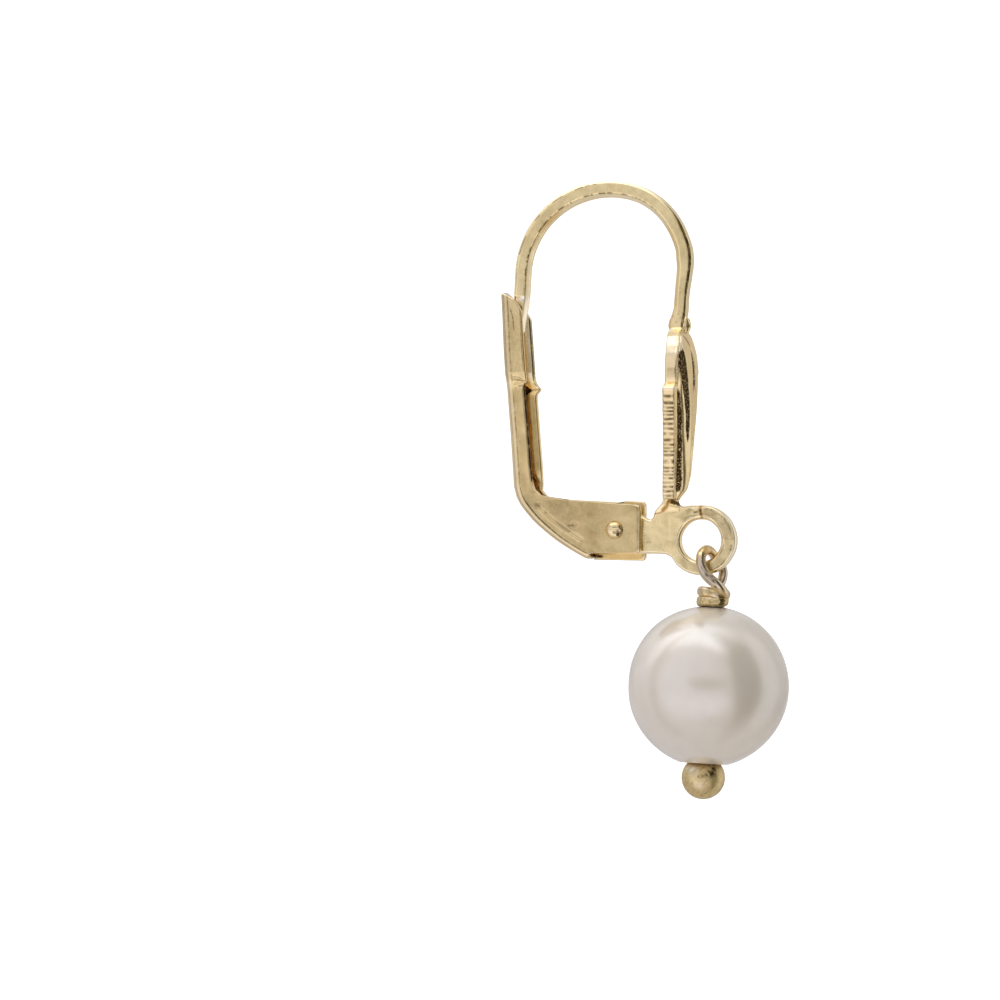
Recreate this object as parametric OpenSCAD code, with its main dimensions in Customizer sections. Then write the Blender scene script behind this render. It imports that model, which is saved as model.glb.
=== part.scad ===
// Leverback earring with a shell front and a pearl drop on a wrapped head pin.
// Z is up, the shell faces -Y and the lever is on the +Y side. The origin is the underside of the
// ear wire's crown, where the earring hangs in the ear lobe. All sizes are in millimetres.

/* [Ear wire] */
// Side of the wire's bevelled square section at the front of the crown
wire_side = 0.82; // [0.74:0.02:0.84]
// Side of the section along the two legs
leg_side = 0.77; // [0.7:0.01:0.8]
// Bevel on the section's corners
wire_bevel = 0.2; // [0.1:0.02:0.3]
// Forward lean of the front leg, in degrees
front_lean = 6.8; // [5:0.2:8]
// Straight length of the front leg above the shell
front_leg = 2.64; // [2.4:0.02:2.8]
// Bend radius of the front half of the arch
front_bend_r = 3.64; // [3.5:0.02:3.8]
// Turn of the front half of the arch, in degrees
front_bend_turn = 75.3; // [74:0.1:76]
// Bend radius of the back half of the arch
back_bend_r = 4.38; // [4.3:0.02:4.5]
// Turn of the back half of the arch, in degrees
back_bend_turn = 107.3; // [106:0.1:108]
// Straight length of the back leg above its tapered tip
back_leg = 1.1; // [0.9:0.05:1.2]
// Length of the tapered tip
tip_length = 1.9; // [1.6:0.1:2]
// Thickness of the tip's end
tip_end = 0.45; // [0.3:0.05:0.6]

/* [Shell] */
// Thickness of the shell's rim
rim_thick = 0.65; // [0.5:0.05:0.8]
// Height of the ribs on the dome
rib_height = 0.09; // [0.04:0.01:0.12]
// Number of ribs across the dome
rib_count = 5; // [3:2:7]
// Depth of the groove round the dome
groove_depth = 0.12; // [0.05:0.01:0.2]

/* [Hinge plate and ring] */
// Thickness of the plate and the ring
plate_thick = 0.56; // [0.5:0.02:0.58]
// Outer radius of the ring
ring_outer_r = 1.74; // [1.7:0.01:1.76]
// Inner radius of the ring
ring_inner_r = 1.03; // [1.02:0.01:1.06]
// Radius of the lug round the rivet
lug_r = 1.15; // [1:0.05:1.2]

/* [Lever] */
// Thickness of the folded sheet
sheet = 0.28; // [0.22:0.02:0.28]
// Backward lean of the lever's back, in degrees
lever_lean = 3.5; // [3.4:0.05:3.8]
// Width of the cup that closes on the wire's tip
cup_width = 1.7; // [1.6:0.05:1.8]
// Depth of the cup, front to back
cup_depth = 1.12; // [1.05:0.01:1.2]
// Length of the cup
cup_length = 4.3; // [4.1:0.1:4.5]
// Width of the channel under the cup
channel_width = 1.24; // [1.2:0.02:1.3]
// Depth of the channel, front to back
channel_depth = 1.18; // [1.1:0.02:1.2]
// Width across the two cheeks
cheek_width = 1.34; // [1.32:0.01:1.4]

/* [Rivet] */
// Radius of the rivet's shank
rivet_r = 0.28; // [0.24:0.01:0.3]
// Clearance round the shank in the hinge plate
rivet_gap = 0.04; // [0.02:0.01:0.06]
// Radius of the rivet's heads
rivet_head_r = 0.45; // [0.4:0.01:0.5]
// Height of the rivet's heads
rivet_head_h = 0.38; // [0.3:0.02:0.45]

/* [Drop] */
// Radius of the pearl
pearl_r = 4; // [3.8:0.05:4]
// Radius of the hole through the pearl
pearl_hole_r = 0.4; // [0.35:0.01:0.5]
// Radius of the head pin's wire
pin_r = 0.25; // [0.22:0.01:0.26]
// Radius of the ball below the pearl
ball_r = 1.08; // [1:0.02:1.15]
// Inner radius of the eye that hangs in the ring
eye_inner_r = 0.46; // [0.45:0.01:0.48]
// Turn of the eye about its own axis, in degrees
eye_turn = 21; // [15:1:24]
// Lean of the pin through the pearl, in degrees
pin_lean = 3.3; // [2.8:0.1:3.8]

/* [Hidden] */

round_fn = 64;
gold = [0.84, 0.72, 0.47];
pearl_white = [0.91, 0.87, 0.85];

// The front leg's foot, on the shell's top edge
foot = [-3.716, -6.3];
foot_sink = 0.6;
// Each thinner stretch of the wire starts a little way inside the thicker one
back_side = (wire_side + leg_side) / 2;
leg_lap = 0.05;
bend_lap = 0.8;

// Centres of the rivet and the ring, as [y, z]
rivet_at = [-0.67, -16.58];
ring_at = [-4.97, -17.1];

// The shell from its top down, with the half-width of the dome, the half-width of the whole
// shell, and how far the dome's crest and the back stand from the ear wire's middle
SHELL = [
    // [z, dome half-width, full half-width, crest y, back y]
    [-6.70, 0.50, 0.70, -4.26, -3.46],
    [-6.95, 1.05, 1.26, -4.36, -3.50],
    [-7.40, 1.47, 1.70, -4.45, -3.56],
    [-7.95, 1.74, 1.98, -4.54, -3.58],
    [-8.60, 1.86, 2.12, -4.60, -3.58],
    [-9.15, 1.85, 2.11, -4.61, -3.58],
    [-9.32, 1.83, 2.10, -4.61, -3.57],
    [-9.62, 1.76, 2.42, -4.61, -3.51],
    [-10.5, 1.52, 2.11, -4.60, -3.46],
    [-11.6, 1.22, 1.70, -4.53, -3.38],
    [-12.8, 0.89, 1.25, -4.41, -3.28],
    [-13.9, 0.58, 0.84, -4.29, -3.16],
    [-14.6, 0.38, 0.58, -4.13, -3.09],
    [-15.0, 0.27, 0.44, -3.85, -3.06]
];
dome_columns = 30;
wing_columns = 4;
wing_rise = 0.1;
// The dome is rounder than an ellipse's arc below 0.5, and the groove is narrow at a high power
dome_power = 0.55;
groove_power = 6;

// The hinge plate between the lug and the ring, and the neck that joins it to the shell, as [y, z]
PLATE = [
    [rivet_at[0], -15.43], [-2.41, -16.02], [-2.93, -15.35], [-3.9, -15.37],
    [ring_at[0], -15.37], [ring_at[0], -17.8], [rivet_at[0], -17.73]
];
NECK = [[-3.1, -14.6], [-3.0, -15.2], [-2.7, -15.7], [-3.8, -15.5], [-3.78, -14.6]];
neck_thick = plate_thick + 0.1;

// The rivet: the cheeks' outer faces, the bore in the plate, and the two steps of its heads
half_cheek = cheek_width / 2;
bore_r = rivet_r + rivet_gap;
head_step_h = 0.55 * rivet_head_h;
head_low_r = 0.9 * rivet_head_r;
head_top_r = 0.55 * rivet_head_r;

// The lever's back line starts at the cup's peak, as [y, z]
peak = [5.18, -4.74];
cup_corner_r = 0.45;
channel_corner_r = 0.4;
channel_length = 10;
cup_round_r = 0.9;
margin = 0.1;
// The cup's top edge seen from the side, from its peak to its front lip, as [y, z] from the peak
CUP_TOP = [[margin, 0.02], [-0.25, -0.02], [0.12 - cup_depth, -0.62], [-margin - cup_depth, -0.95]];
// How far the channel's sides stop short of the cup's lower end
channel_start = 0.3;
// The channel ends inside the cheeks, at this height
channel_end_z = -14.5;

// The cheeks seen from the side, as [y, z], from the top of the channel round to its back
CHEEK = [
    [3.62, -14.6], [3.05, -14.93], [1.78, -15.1], [-1.88, -15.32], [-2.02, -15.46],
    [-2.0, -17.62], [-1.9, -17.74], [0.87, -17.92], [2.38, -17.05], [3.38, -16.24],
    [4.1, -15.44], [4.42, -14.9], [4.5, -14.4]
];
// How far the +X cheek reaches beyond that outline, at its top and its bottom edge
TALL_CHEEK = [
    [1.78, -15.2], [1.7, -15.06], [-1.84, -15.25], [-2.02, -15.42], [-2.0, -17.94], [-1.85, -18.08],
    [0.55, -18.12], [0.9, -17.88], [0.6, -17.6], [-0.6, -16.6]
];
// The hollow between the cheeks, which the folded sheet closes at the heel
HOLLOW = [
    [4.24, -13.6], [4.22, -14.7], [3.94, -15.36], [3.24, -16.06], [2.24, -16.83],
    [0.98, -17.52], [0.84, -18.2], [-2.6, -18.2], [-2.6, -14.6], [3.4, -14.4],
    [3.4, -13.6]
];

// The pearl's centre as [y, z], and how far the ball's centre lies below it along the pin
pearl_at = [-5.3, -24.34];
ball_drop = 4.52;
seat_gap = 0.03;

// The wraps are round turns of the same wire, and the lowest of them rests on the pearl. Their
// heights are measured along the pin, from the pearl's centre.
wrap_count = 2;
wrap_r = 0.53;
turn_r = pin_r + 0.01;
wrap_pitch = 2 * pin_r;
wrap_low = sqrt(pow(pearl_r + turn_r + seat_gap, 2) - pow(wrap_r, 2));
wrap_top = wrap_low + (wrap_count - 1) * wrap_pitch;

// The eye reaches from the upper wrap to its seat in the ring, seat_r from the ring's centre and
// seat_angle in front of its lowest point
seat_r = 0.54;
seat_angle = 27;
eye_r = eye_inner_r + pin_r;
eye_high = [ring_at[0] - seat_r * sin(seat_angle), ring_at[1] - seat_r * cos(seat_angle)];
eye_foot = [pearl_at[0] - wrap_top * sin(pin_lean), pearl_at[1] + wrap_top * cos(pin_lean)];
eye_lean = atan2(eye_high[0] - eye_foot[0], eye_high[1] - eye_foot[1]);
eye_side = norm(eye_high - eye_foot) - 2 * eye_r;
side_lap = 0.04;

// Lays a flat [y, z] outline in the side plane and gives it a width along X
module side_plate(width) {
    rotate([90, 0, 90])
        linear_extrude(height = width, center = true)
            children();
}

// A cylinder along X at a [y, z] place
module cross_pin(at, r, length) {
    translate([0, at[0], at[1]])
        rotate([0, 90, 0])
            cylinder(r = r, h = length, center = true, $fn = round_fn);
}

// The wire's section, a square with bevelled corners
module wire_section(side) {
    h = side / 2;
    b = h - wire_bevel;
    polygon([[-h, -b], [-b, -h], [b, -h], [h, -b], [h, b], [b, h], [-b, h], [-h, b]]);
}

// A straight length of wire along +Z
module wire_straight(side, length) {
    linear_extrude(height = length)
        wire_section(side);
}

// A bend that starts along +Z and turns towards +Y
module wire_bend(side, r, turn) {
    translate([0, r, 0])
        rotate([90, 0, -90])
            rotate_extrude(angle = turn, $fn = 4 * round_fn)
                translate([r, 0])
                    wire_section(side);
}

// Moves to the end of such a bend
module after_bend(r, turn) {
    translate([0, r * (1 - cos(turn)), r * sin(turn)])
        rotate([-turn, 0, 0])
            children();
}

// The wire's last stretch, thinned to a chisel end
module wire_tip() {
    h = leg_side / 2;
    e = tip_end / 2;
    side_plate(leg_side)
        polygon([[-h, 0], [h, 0], [e, tip_length], [-e, tip_length]]);
}

module ear_wire() {
    translate([0, foot[0], foot[1]])
        rotate([front_lean, 0, 0]) {
            translate([0, 0, -foot_sink])
                wire_straight(leg_side, foot_sink + front_leg + leg_lap);
            translate([0, 0, front_leg]) {
                wire_bend(wire_side, front_bend_r, front_bend_turn);
                after_bend(front_bend_r, front_bend_turn - bend_lap) {
                    wire_bend(back_side, back_bend_r, back_bend_turn + bend_lap);
                    after_bend(back_bend_r, back_bend_turn + bend_lap) {
                        translate([0, 0, -leg_lap])
                            wire_straight(leg_side, back_leg + leg_lap);
                        translate([0, 0, back_leg])
                            wire_tip();
                    }
                }
            }
        }
}

// Height of the dome at a fraction f of its half-width, 0 at its edge and 1 at its crest
function dome(f) = pow(1 - f * f, dome_power);
function rib(f) = rib_height * cos(180 * rib_count * f) * (1 - f * f);

// One row of points across the shell's front, from its -X edge to its +X edge
function front_row(s) =
    let (rim = s[4] - rim_thick, rise = rim - s[3])
    concat(
        [for (i = [0 : wing_columns - 1])
            let (g = i / wing_columns)
            [-s[2] + g * (s[2] - s[1]), rim - wing_rise * sin(180 * g), s[0]]],
        [for (i = [0 : dome_columns])
            let (f = 2 * i / dome_columns - 1, edge = 1 - pow(abs(f), groove_power))
            [f * s[1], rim + groove_depth * (1 - edge) - rise * dome(f) - rib(f), s[0]]],
        [for (i = [wing_columns - 1 : -1 : 0])
            let (g = i / wing_columns)
            [s[2] - g * (s[2] - s[1]), rim - wing_rise * sin(180 * g), s[0]]]
    );

// The matching row across the shell's flat back
function back_row(s) = [for (p = front_row(s)) [p[0], s[4], s[0]]];

module shell_front() {
    rows = len(SHELL);
    cols = dome_columns + 1 + 2 * wing_columns;
    fronts = [for (s = SHELL) each front_row(s)];
    backs = [for (s = SHELL) each back_row(s)];
    b = rows * cols;
    front_faces = [for (r = [0 : rows - 2]) for (c = [0 : cols - 2])
        let (p = r * cols + c)
        each [[p, p + 1, p + cols + 1], [p, p + cols + 1, p + cols]]];
    back_faces = [for (r = [0 : rows - 2]) for (c = [0 : cols - 2])
        let (p = b + r * cols + c)
        each [[p, p + cols + 1, p + 1], [p, p + cols, p + cols + 1]]];
    side_faces = [for (r = [0 : rows - 2])
        let (p = r * cols, q = p + cols - 1)
        each [[p, p + cols, b + p + cols], [p, b + p + cols, b + p],
            [q, b + q + cols, q + cols], [q, b + q, b + q + cols]]];
    end_faces = [for (c = [0 : cols - 2])
        let (p = c, q = (rows - 1) * cols + c)
        each [[p, b + p + 1, p + 1], [p, b + p, b + p + 1],
            [q, q + 1, b + q + 1], [q, b + q + 1, b + q]]];
    polyhedron(concat(fronts, backs), concat(front_faces, back_faces, side_faces, end_faces));
}

// The plate that the lever turns on, in one with the ring and the neck under the shell
module hinge_plate() {
    difference() {
        union() {
            cross_pin(rivet_at, lug_r, plate_thick);
            cross_pin(ring_at, ring_outer_r, plate_thick);
            side_plate(plate_thick)
                polygon(PLATE);
            side_plate(neck_thick)
                polygon(NECK);
        }
        cross_pin(ring_at, ring_inner_r, 2 * plate_thick);
        cross_pin(rivet_at, bore_r, 2 * plate_thick);
    }
}

module ear_hook() {
    color(gold) {
        ear_wire();
        shell_front();
        hinge_plate();
    }
}

// A channel section, open towards -Y, with its back's corners rounded
module channel_outline(width, depth, corner) {
    translate([-width / 2, -depth])
        square([width, depth - corner]);
    translate([corner - width / 2, -depth])
        square([width - 2 * corner, depth]);
    for (s = [-1, 1])
        translate([s * (width / 2 - corner), -corner])
            circle(r = corner, $fn = round_fn);
}

module channel(width, depth, corner, length) {
    translate([0, 0, -length])
        linear_extrude(height = length)
            difference() {
                channel_outline(width, depth, corner);
                translate([0, -sheet])
                    channel_outline(width - 2 * sheet, depth, corner - sheet / 2);
            }
}

// The cup: its top slopes down to the front and is rounded from side to side
module cup() {
    intersection() {
        channel(cup_width, cup_depth, cup_corner_r, cup_length);
        side_plate(2 * cup_width)
            polygon(concat(CUP_TOP, [[-margin - cup_depth, -cup_length - margin],
                [margin, -cup_length - margin]]));
        union() {
            translate([0, 0, -cup_round_r])
                rotate([90, 0, 0])
                    cylinder(r = cup_round_r, h = 4 * cup_depth, center = true, $fn = round_fn);
            translate([-cup_width, -2 * cup_depth, -cup_length - margin])
                cube([2 * cup_width, 4 * cup_depth, cup_length + margin - cup_round_r]);
        }
    }
}

module lever_back() {
    translate([0, peak[0], peak[1]])
        rotate([-lever_lean, 0, 0]) {
            cup();
            channel(channel_width, channel_depth, channel_corner_r, channel_length);
        }
}

module cheeks() {
    difference() {
        union() {
            side_plate(cheek_width)
                polygon(CHEEK);
            translate([half_cheek - sheet / 2, 0, 0])
                side_plate(sheet)
                    polygon(TALL_CHEEK);
        }
        side_plate(cheek_width - 2 * sheet)
            polygon(HOLLOW);
        cross_pin(rivet_at, rivet_r, 2 * cheek_width);
    }
}

module lever() {
    color(gold) {
        difference() {
            lever_back();
            translate([-cup_width, 0, channel_end_z - channel_length])
                cube([2 * cup_width, 2 * peak[0], channel_length]);
            translate([0, peak[0], peak[1]])
                rotate([-lever_lean, 0, 0])
                    translate([-channel_width / 2, -2 * channel_depth - sheet, channel_start - cup_length])
                        cube([channel_width, 2 * channel_depth, cup_length]);
        }
        cheeks();
    }
}

module rivet() {
    color(gold) {
        cross_pin(rivet_at, rivet_r, cheek_width + head_step_h);
        for (s = [-1, 1])
            translate([s * half_cheek, rivet_at[0], rivet_at[1]])
                rotate([0, s * 90, 0]) {
                    cylinder(r = rivet_head_r, h = head_step_h, $fn = round_fn);
                    cylinder(r1 = head_low_r, r2 = head_top_r, h = rivet_head_h, $fn = round_fn);
                }
    }
}

// Half a ring of pin wire, arched towards +Z
module eye_arch() {
    rotate([90, 0, 0])
        rotate_extrude(angle = 180, $fn = round_fn)
            translate([eye_r, 0])
                circle(r = pin_r, $fn = round_fn);
}

// The eye stands on the upper wrap
module eye() {
    translate([0, 0, eye_r + eye_side])
        eye_arch();
    translate([0, 0, eye_r])
        rotate([180, 0, 0])
            eye_arch();
    for (s = [-1, 1])
        translate([s * eye_r, 0, eye_r - side_lap])
            cylinder(r = turn_r, h = eye_side + 2 * side_lap, $fn = round_fn);
}

// Places a child along the pin, from the pearl's centre
module on_pin() {
    translate([0, pearl_at[0], pearl_at[1]])
        rotate([pin_lean, 0, 0])
            children();
}

module wraps() {
    for (i = [0 : wrap_count - 1])
        translate([0, 0, wrap_low + i * wrap_pitch])
            rotate_extrude($fn = round_fn)
                translate([wrap_r, 0])
                    circle(r = turn_r, $fn = round_fn);
    translate([0, 0, wrap_low])
        cylinder(r = wrap_r, h = wrap_top - wrap_low, $fn = round_fn);
}

module head_pin() {
    color(gold) {
        translate([0, eye_foot[0], eye_foot[1]])
            rotate([-eye_lean, 0, 0])
                rotate([0, 0, -eye_turn])
                    eye();
        on_pin() {
            wraps();
            translate([0, 0, -ball_drop]) {
                cylinder(r = pin_r, h = wrap_top + ball_drop, $fn = round_fn);
                sphere(r = ball_r, $fn = round_fn);
            }
        }
    }
}

module pearl() {
    color(pearl_white)
        on_pin()
            difference() {
                sphere(r = pearl_r, $fn = round_fn);
                cylinder(r = pearl_hole_r, h = 3 * pearl_r, center = true, $fn = round_fn);
                translate([0, 0, -ball_drop])
                    sphere(r = ball_r + seat_gap, $fn = round_fn);
            }
}

ear_hook();
lever();
rivet();
head_pin();
pearl();
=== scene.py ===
import itertools
import math

import bmesh
import bpy
import numpy as np
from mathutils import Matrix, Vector
from mathutils.geometry import delaunay_2d_cdt


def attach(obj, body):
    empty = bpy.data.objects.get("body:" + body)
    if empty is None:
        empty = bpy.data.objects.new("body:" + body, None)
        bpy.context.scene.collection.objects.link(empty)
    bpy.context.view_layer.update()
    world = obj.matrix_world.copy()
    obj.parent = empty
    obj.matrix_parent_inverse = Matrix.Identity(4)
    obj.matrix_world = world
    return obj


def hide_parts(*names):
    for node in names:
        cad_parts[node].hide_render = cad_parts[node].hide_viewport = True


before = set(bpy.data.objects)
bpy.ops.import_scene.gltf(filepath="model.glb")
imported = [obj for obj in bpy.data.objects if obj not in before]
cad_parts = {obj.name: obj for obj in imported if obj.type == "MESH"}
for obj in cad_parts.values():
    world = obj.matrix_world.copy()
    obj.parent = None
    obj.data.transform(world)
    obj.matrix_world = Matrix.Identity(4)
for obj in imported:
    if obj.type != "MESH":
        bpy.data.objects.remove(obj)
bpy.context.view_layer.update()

MM = 0.001

# small tools


HASH = (374761393, 668265263, 1440662683, 974634777)
HASH_MIX = 1274126177
LOW_BITS = 0xFFFFFFFF


def lattice(i, j, k, seed):
    """A fixed value from -1 to 1 for each whole-number point."""
    n = (i * HASH[0] + j * HASH[1] + k * HASH[2] + seed * HASH[3]) & LOW_BITS
    n = ((n ^ (n >> 13)) * HASH_MIX) & LOW_BITS
    return ((n ^ (n >> 16)) & 0xFFFF) / 32767.5 - 1.0


def ripple(p, size, seed):
    """Smooth noise from -1 to 1 at points p, with bumps about size mm wide."""
    q = np.asarray(p, float) / size + 1000.0
    c = np.floor(q).astype(np.int64)
    f = q - c
    f = f * f * (3 - 2 * f)
    total = 0.0
    for dx, dy, dz in itertools.product((0, 1), repeat=3):
        w = 1.0
        for axis, d in enumerate((dx, dy, dz)):
            w = w * (f[..., axis] if d else 1 - f[..., axis])
        total = total + w * lattice(c[..., 0] + dx, c[..., 1] + dy, c[..., 2] + dz, seed)
    return total


def bump_at(v, centre, width):
    return np.exp(-(((v - centre) / width) ** 2))


def ramp(v, low, high):
    t = np.clip((v - low) / (high - low), 0, 1)
    return t * t * (3 - 2 * t)


def band(v, low, high, soft):
    return ramp(v, low - soft, low + soft) * (1 - ramp(v, high - soft, high + soft))


def unit(v):
    return v / np.linalg.norm(v, axis=-1, keepdims=True)


def points_at(x, y, z):
    return np.stack(np.broadcast_arrays(x, y, z), -1)


def circle(count):
    return np.radians(np.arange(count) * 360 / count)


def lengths(p):
    """How far along a polyline each of its points lies."""
    return np.concatenate([[0], np.cumsum(np.linalg.norm(np.diff(p, axis=0), axis=1))])


def along(p, t):
    """The points at the lengths t along a polyline."""
    d = lengths(p)
    return np.stack([np.interp(t, d, p[:, i]) for i in range(p.shape[1])], 1)


def near_line(y, z, points, width):
    """1 on a polyline in the side plane, falling to 0 about width away from it."""
    best = np.full(np.shape(y), np.inf)
    for (ay, az), (by, bz) in zip(points[:-1], points[1:]):
        ly, lz = by - ay, bz - az
        t = np.clip(((y - ay) * ly + (z - az) * lz) / (ly * ly + lz * lz), 0, 1)
        best = np.minimum(best, (y - ay - t * ly) ** 2 + (z - az - t * lz) ** 2)
    return np.exp(-best / (width * width))


def bridge(a, b, count):
    """Quads between two rings of count points, which start at points a and b."""
    return [(a + k, a + (k + 1) % count, b + (k + 1) % count, b + k) for k in range(count)]


def grid_faces(rows, cols, first=0):
    """Quads of a tube made of rows rings."""
    out = []
    for r in range(rows - 1):
        out += bridge(first + r * cols, first + (r + 1) * cols, cols)
    return out


def closing_rings(ring, way, steps):
    """Smaller and smaller rings that round the end of a tube. steps holds (size, distance) pairs."""
    centre = ring.mean(0)
    return np.array([centre + (ring - centre) * size + np.array(way) * far for size, far in steps])


def build(name, verts, faces, material, body, slot, replaced=(), weighted=False, **values):
    """A piece from points in mm. values are per-point attributes that its material reads."""
    mesh = bpy.data.meshes.new(name)
    verts = np.asarray(verts, float)
    mesh.from_pydata((verts * MM).tolist(), [], faces)
    mesh.update()
    work = bmesh.new()
    work.from_mesh(mesh)
    bmesh.ops.recalc_face_normals(work, faces=work.faces)
    work.to_mesh(mesh)
    work.free()
    for key in ("mark", "sand", "other", "pale"):
        data = np.zeros(len(verts), np.float32)
        data[:] = values.get(key, 0)
        mesh.attributes.new(key, "FLOAT", "POINT").data.foreach_set("value", data)
    mesh.polygons.foreach_set("use_smooth", [True] * len(mesh.polygons))
    mesh.materials.append(material)
    obj = bpy.data.objects.new(name, mesh)
    bpy.context.scene.collection.objects.link(obj)
    if weighted:
        obj.modifiers.new("flat_faces", "WEIGHTED_NORMAL").keep_sharp = True
    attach(obj, body)
    if replaced:
        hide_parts(*replaced)


# materials


class Tree:
    """A thin helper for writing a node tree."""

    def __init__(self, tree):
        self.tree = tree
        tree.nodes.clear()

    def node(self, kind, **settings):
        n = self.tree.nodes.new(kind)
        for k, v in settings.items():
            setattr(n, k, v)
        return n

    def link(self, a, b):
        self.tree.links.new(a, b)

    def put(self, node, index, value):
        if isinstance(value, bpy.types.NodeSocket):
            self.link(value, node.inputs[index])
        else:
            node.inputs[index].default_value = value

    def math(self, op, a, b, clamp=False):
        n = self.node("ShaderNodeMath", operation=op, use_clamp=clamp)
        for i, v in enumerate((a, b)):
            self.put(n, i, v)
        return n.outputs[0]

    def spread(self, value, low, high, to_low=0.0, to_high=1.0):
        n = self.node("ShaderNodeMapRange", interpolation_type="SMOOTHSTEP")
        for i, v in enumerate((value, low, high, to_low, to_high)):
            self.put(n, i, v)
        return n.outputs[0]

    def mix(self, fac, a, b):
        n = self.node("ShaderNodeMix", data_type="RGBA")
        self.put(n, "Factor", fac)
        for sock, v in (("A", a), ("B", b)):
            socket = next(s for s in n.inputs if s.name == sock and s.type == "RGBA")
            if isinstance(v, bpy.types.NodeSocket):
                self.link(v, socket)
            else:
                socket.default_value = (*v, 1)
        return next(s for s in n.outputs if s.type == "RGBA")


class Nodes(Tree):
    """The node tree of a new material."""

    def __init__(self, name):
        self.material = bpy.data.materials.new(name)
        self.material.use_nodes = True
        super().__init__(self.material.node_tree)
        self.shader = self.node("ShaderNodeBsdfPrincipled")
        out = self.node("ShaderNodeOutputMaterial")
        self.link(self.shader.outputs[0], out.inputs["Surface"])
        self.place = self.node("ShaderNodeTexCoord").outputs["Object"]

    def noise(self, per_mm, detail=2.0, rough=0.5, distort=0.0):
        n = self.node("ShaderNodeTexNoise")
        self.link(self.place, n.inputs["Vector"])
        n.inputs["Scale"].default_value = per_mm / MM
        n.inputs["Detail"].default_value = detail
        n.inputs["Roughness"].default_value = rough
        n.inputs["Distortion"].default_value = distort
        return n.outputs["Fac"]

    def attribute(self, name):
        return self.node("ShaderNodeAttribute", attribute_name=name).outputs["Fac"]

    def bump(self, height, depth_mm, normal=None):
        n = self.node("ShaderNodeBump")
        n.inputs["Strength"].default_value = 1.0
        n.inputs["Distance"].default_value = depth_mm * MM
        self.link(height, n.inputs["Height"])
        if normal is not None:
            self.link(normal, n.inputs["Normal"])
        return n.outputs[0]


def gold(name, colour, deep, rough=(0.16, 0.3), grain=0.0015, wave=0.012,
         marked=(0.06, 0.033, 0.01), other=(0.86, 0.44, 0.09), grazing=(1.0, 0.98, 0.98)):
    """Plated gold: a warm tint that varies, a satin grain and soft waves left by polishing. The
    points' mark darkens it, for worn and cut lines and for painted shade and dark reflection, sand
    makes it coarse and sparkling, other tints it, also as painted warm reflection, and pale
    lightens burnished edges and painted highlights."""
    n = Nodes(name)
    mark, sand = n.attribute("mark"), n.attribute("sand")
    broad = n.noise(0.7, 3.0)
    fine = n.noise(9.0, 3.0, 0.65)
    speck = n.noise(15.0, 2.0, 0.6)
    tint = n.mix(n.spread(broad, 0.35, 0.68), colour, deep)
    tint = n.mix(n.attribute("other"), tint, other)
    # pale: a cream tint for burnished edges and for painted highlights
    tint = n.mix(n.attribute("pale"), tint, (0.97, 0.89, 0.72))
    tint = n.mix(n.math("MULTIPLY", n.spread(fine, 0.58, 0.8), 0.3), tint, marked)
    dark = n.math("MULTIPLY", mark, n.spread(n.noise(6.0, 3.0, 0.6), 0.3, 0.55, 0.7, 1.15))
    speckle = n.math("MULTIPLY", n.spread(speck, 0.58, 0.64), sand)
    dark = n.math("SUBTRACT", dark, speckle, clamp=True)
    n.link(n.mix(dark, tint, marked), n.shader.inputs["Base Color"])
    n.shader.inputs["Metallic"].default_value = 1.0
    n.shader.inputs["Specular Tint"].default_value = (*grazing, 1)
    shine = n.spread(n.noise(2.2, 4.0, 0.6), 0.3, 0.7, rough[0], rough[1])
    shine = n.math("ADD", shine, n.math("MULTIPLY", sand, 0.2), clamp=True)
    n.link(shine, n.shader.inputs["Roughness"])
    waves = n.bump(n.noise(1.1, 2.0, 0.4), wave)
    grains = n.bump(fine, grain, waves)
    coarse = n.math("MULTIPLY", n.noise(11.0, 2.0, 0.55), sand)
    n.link(n.bump(coarse, 0.035, grains), n.shader.inputs["Normal"])
    return n.material


# the hook's and the lever's other colour is an orange, painted warm reflection in folds, seams and channels
hook_gold = gold("hook_gold", (0.98, 0.805, 0.455), (0.92, 0.735, 0.395), marked=(0.10, 0.06, 0.02),
                 other=(0.80, 0.42, 0.12))
shell_gold = gold("shell_gold", (0.90, 0.73, 0.43), (0.84, 0.66, 0.36), grain=0.003,
                  marked=(0.05, 0.028, 0.007), other=(0.78, 0.56, 0.26), grazing=(1.0, 0.93, 0.8))
lever_gold = gold("lever_gold", (0.87, 0.68, 0.355), (0.79, 0.595, 0.29), rough=(0.13, 0.28),
                  grain=0.0012, other=(1.0, 0.64, 0.2))
rivet_gold = gold("rivet_gold", (0.86, 0.70, 0.42), (0.78, 0.58, 0.3), rough=(0.16, 0.32), grain=0.004,
                  wave=0.03)
wire_gold = gold("wire_gold", (0.88, 0.71, 0.385), (0.80, 0.61, 0.305), marked=(0.06, 0.04, 0.018),
                 other=(0.58, 0.50, 0.42))
ball_gold = gold("ball_gold", (0.80, 0.645, 0.345), (0.70, 0.54, 0.26), rough=(0.24, 0.40), grain=0.016,
                 wave=0.02, marked=(0.05, 0.035, 0.012), other=(0.75, 0.48, 0.17))


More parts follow.
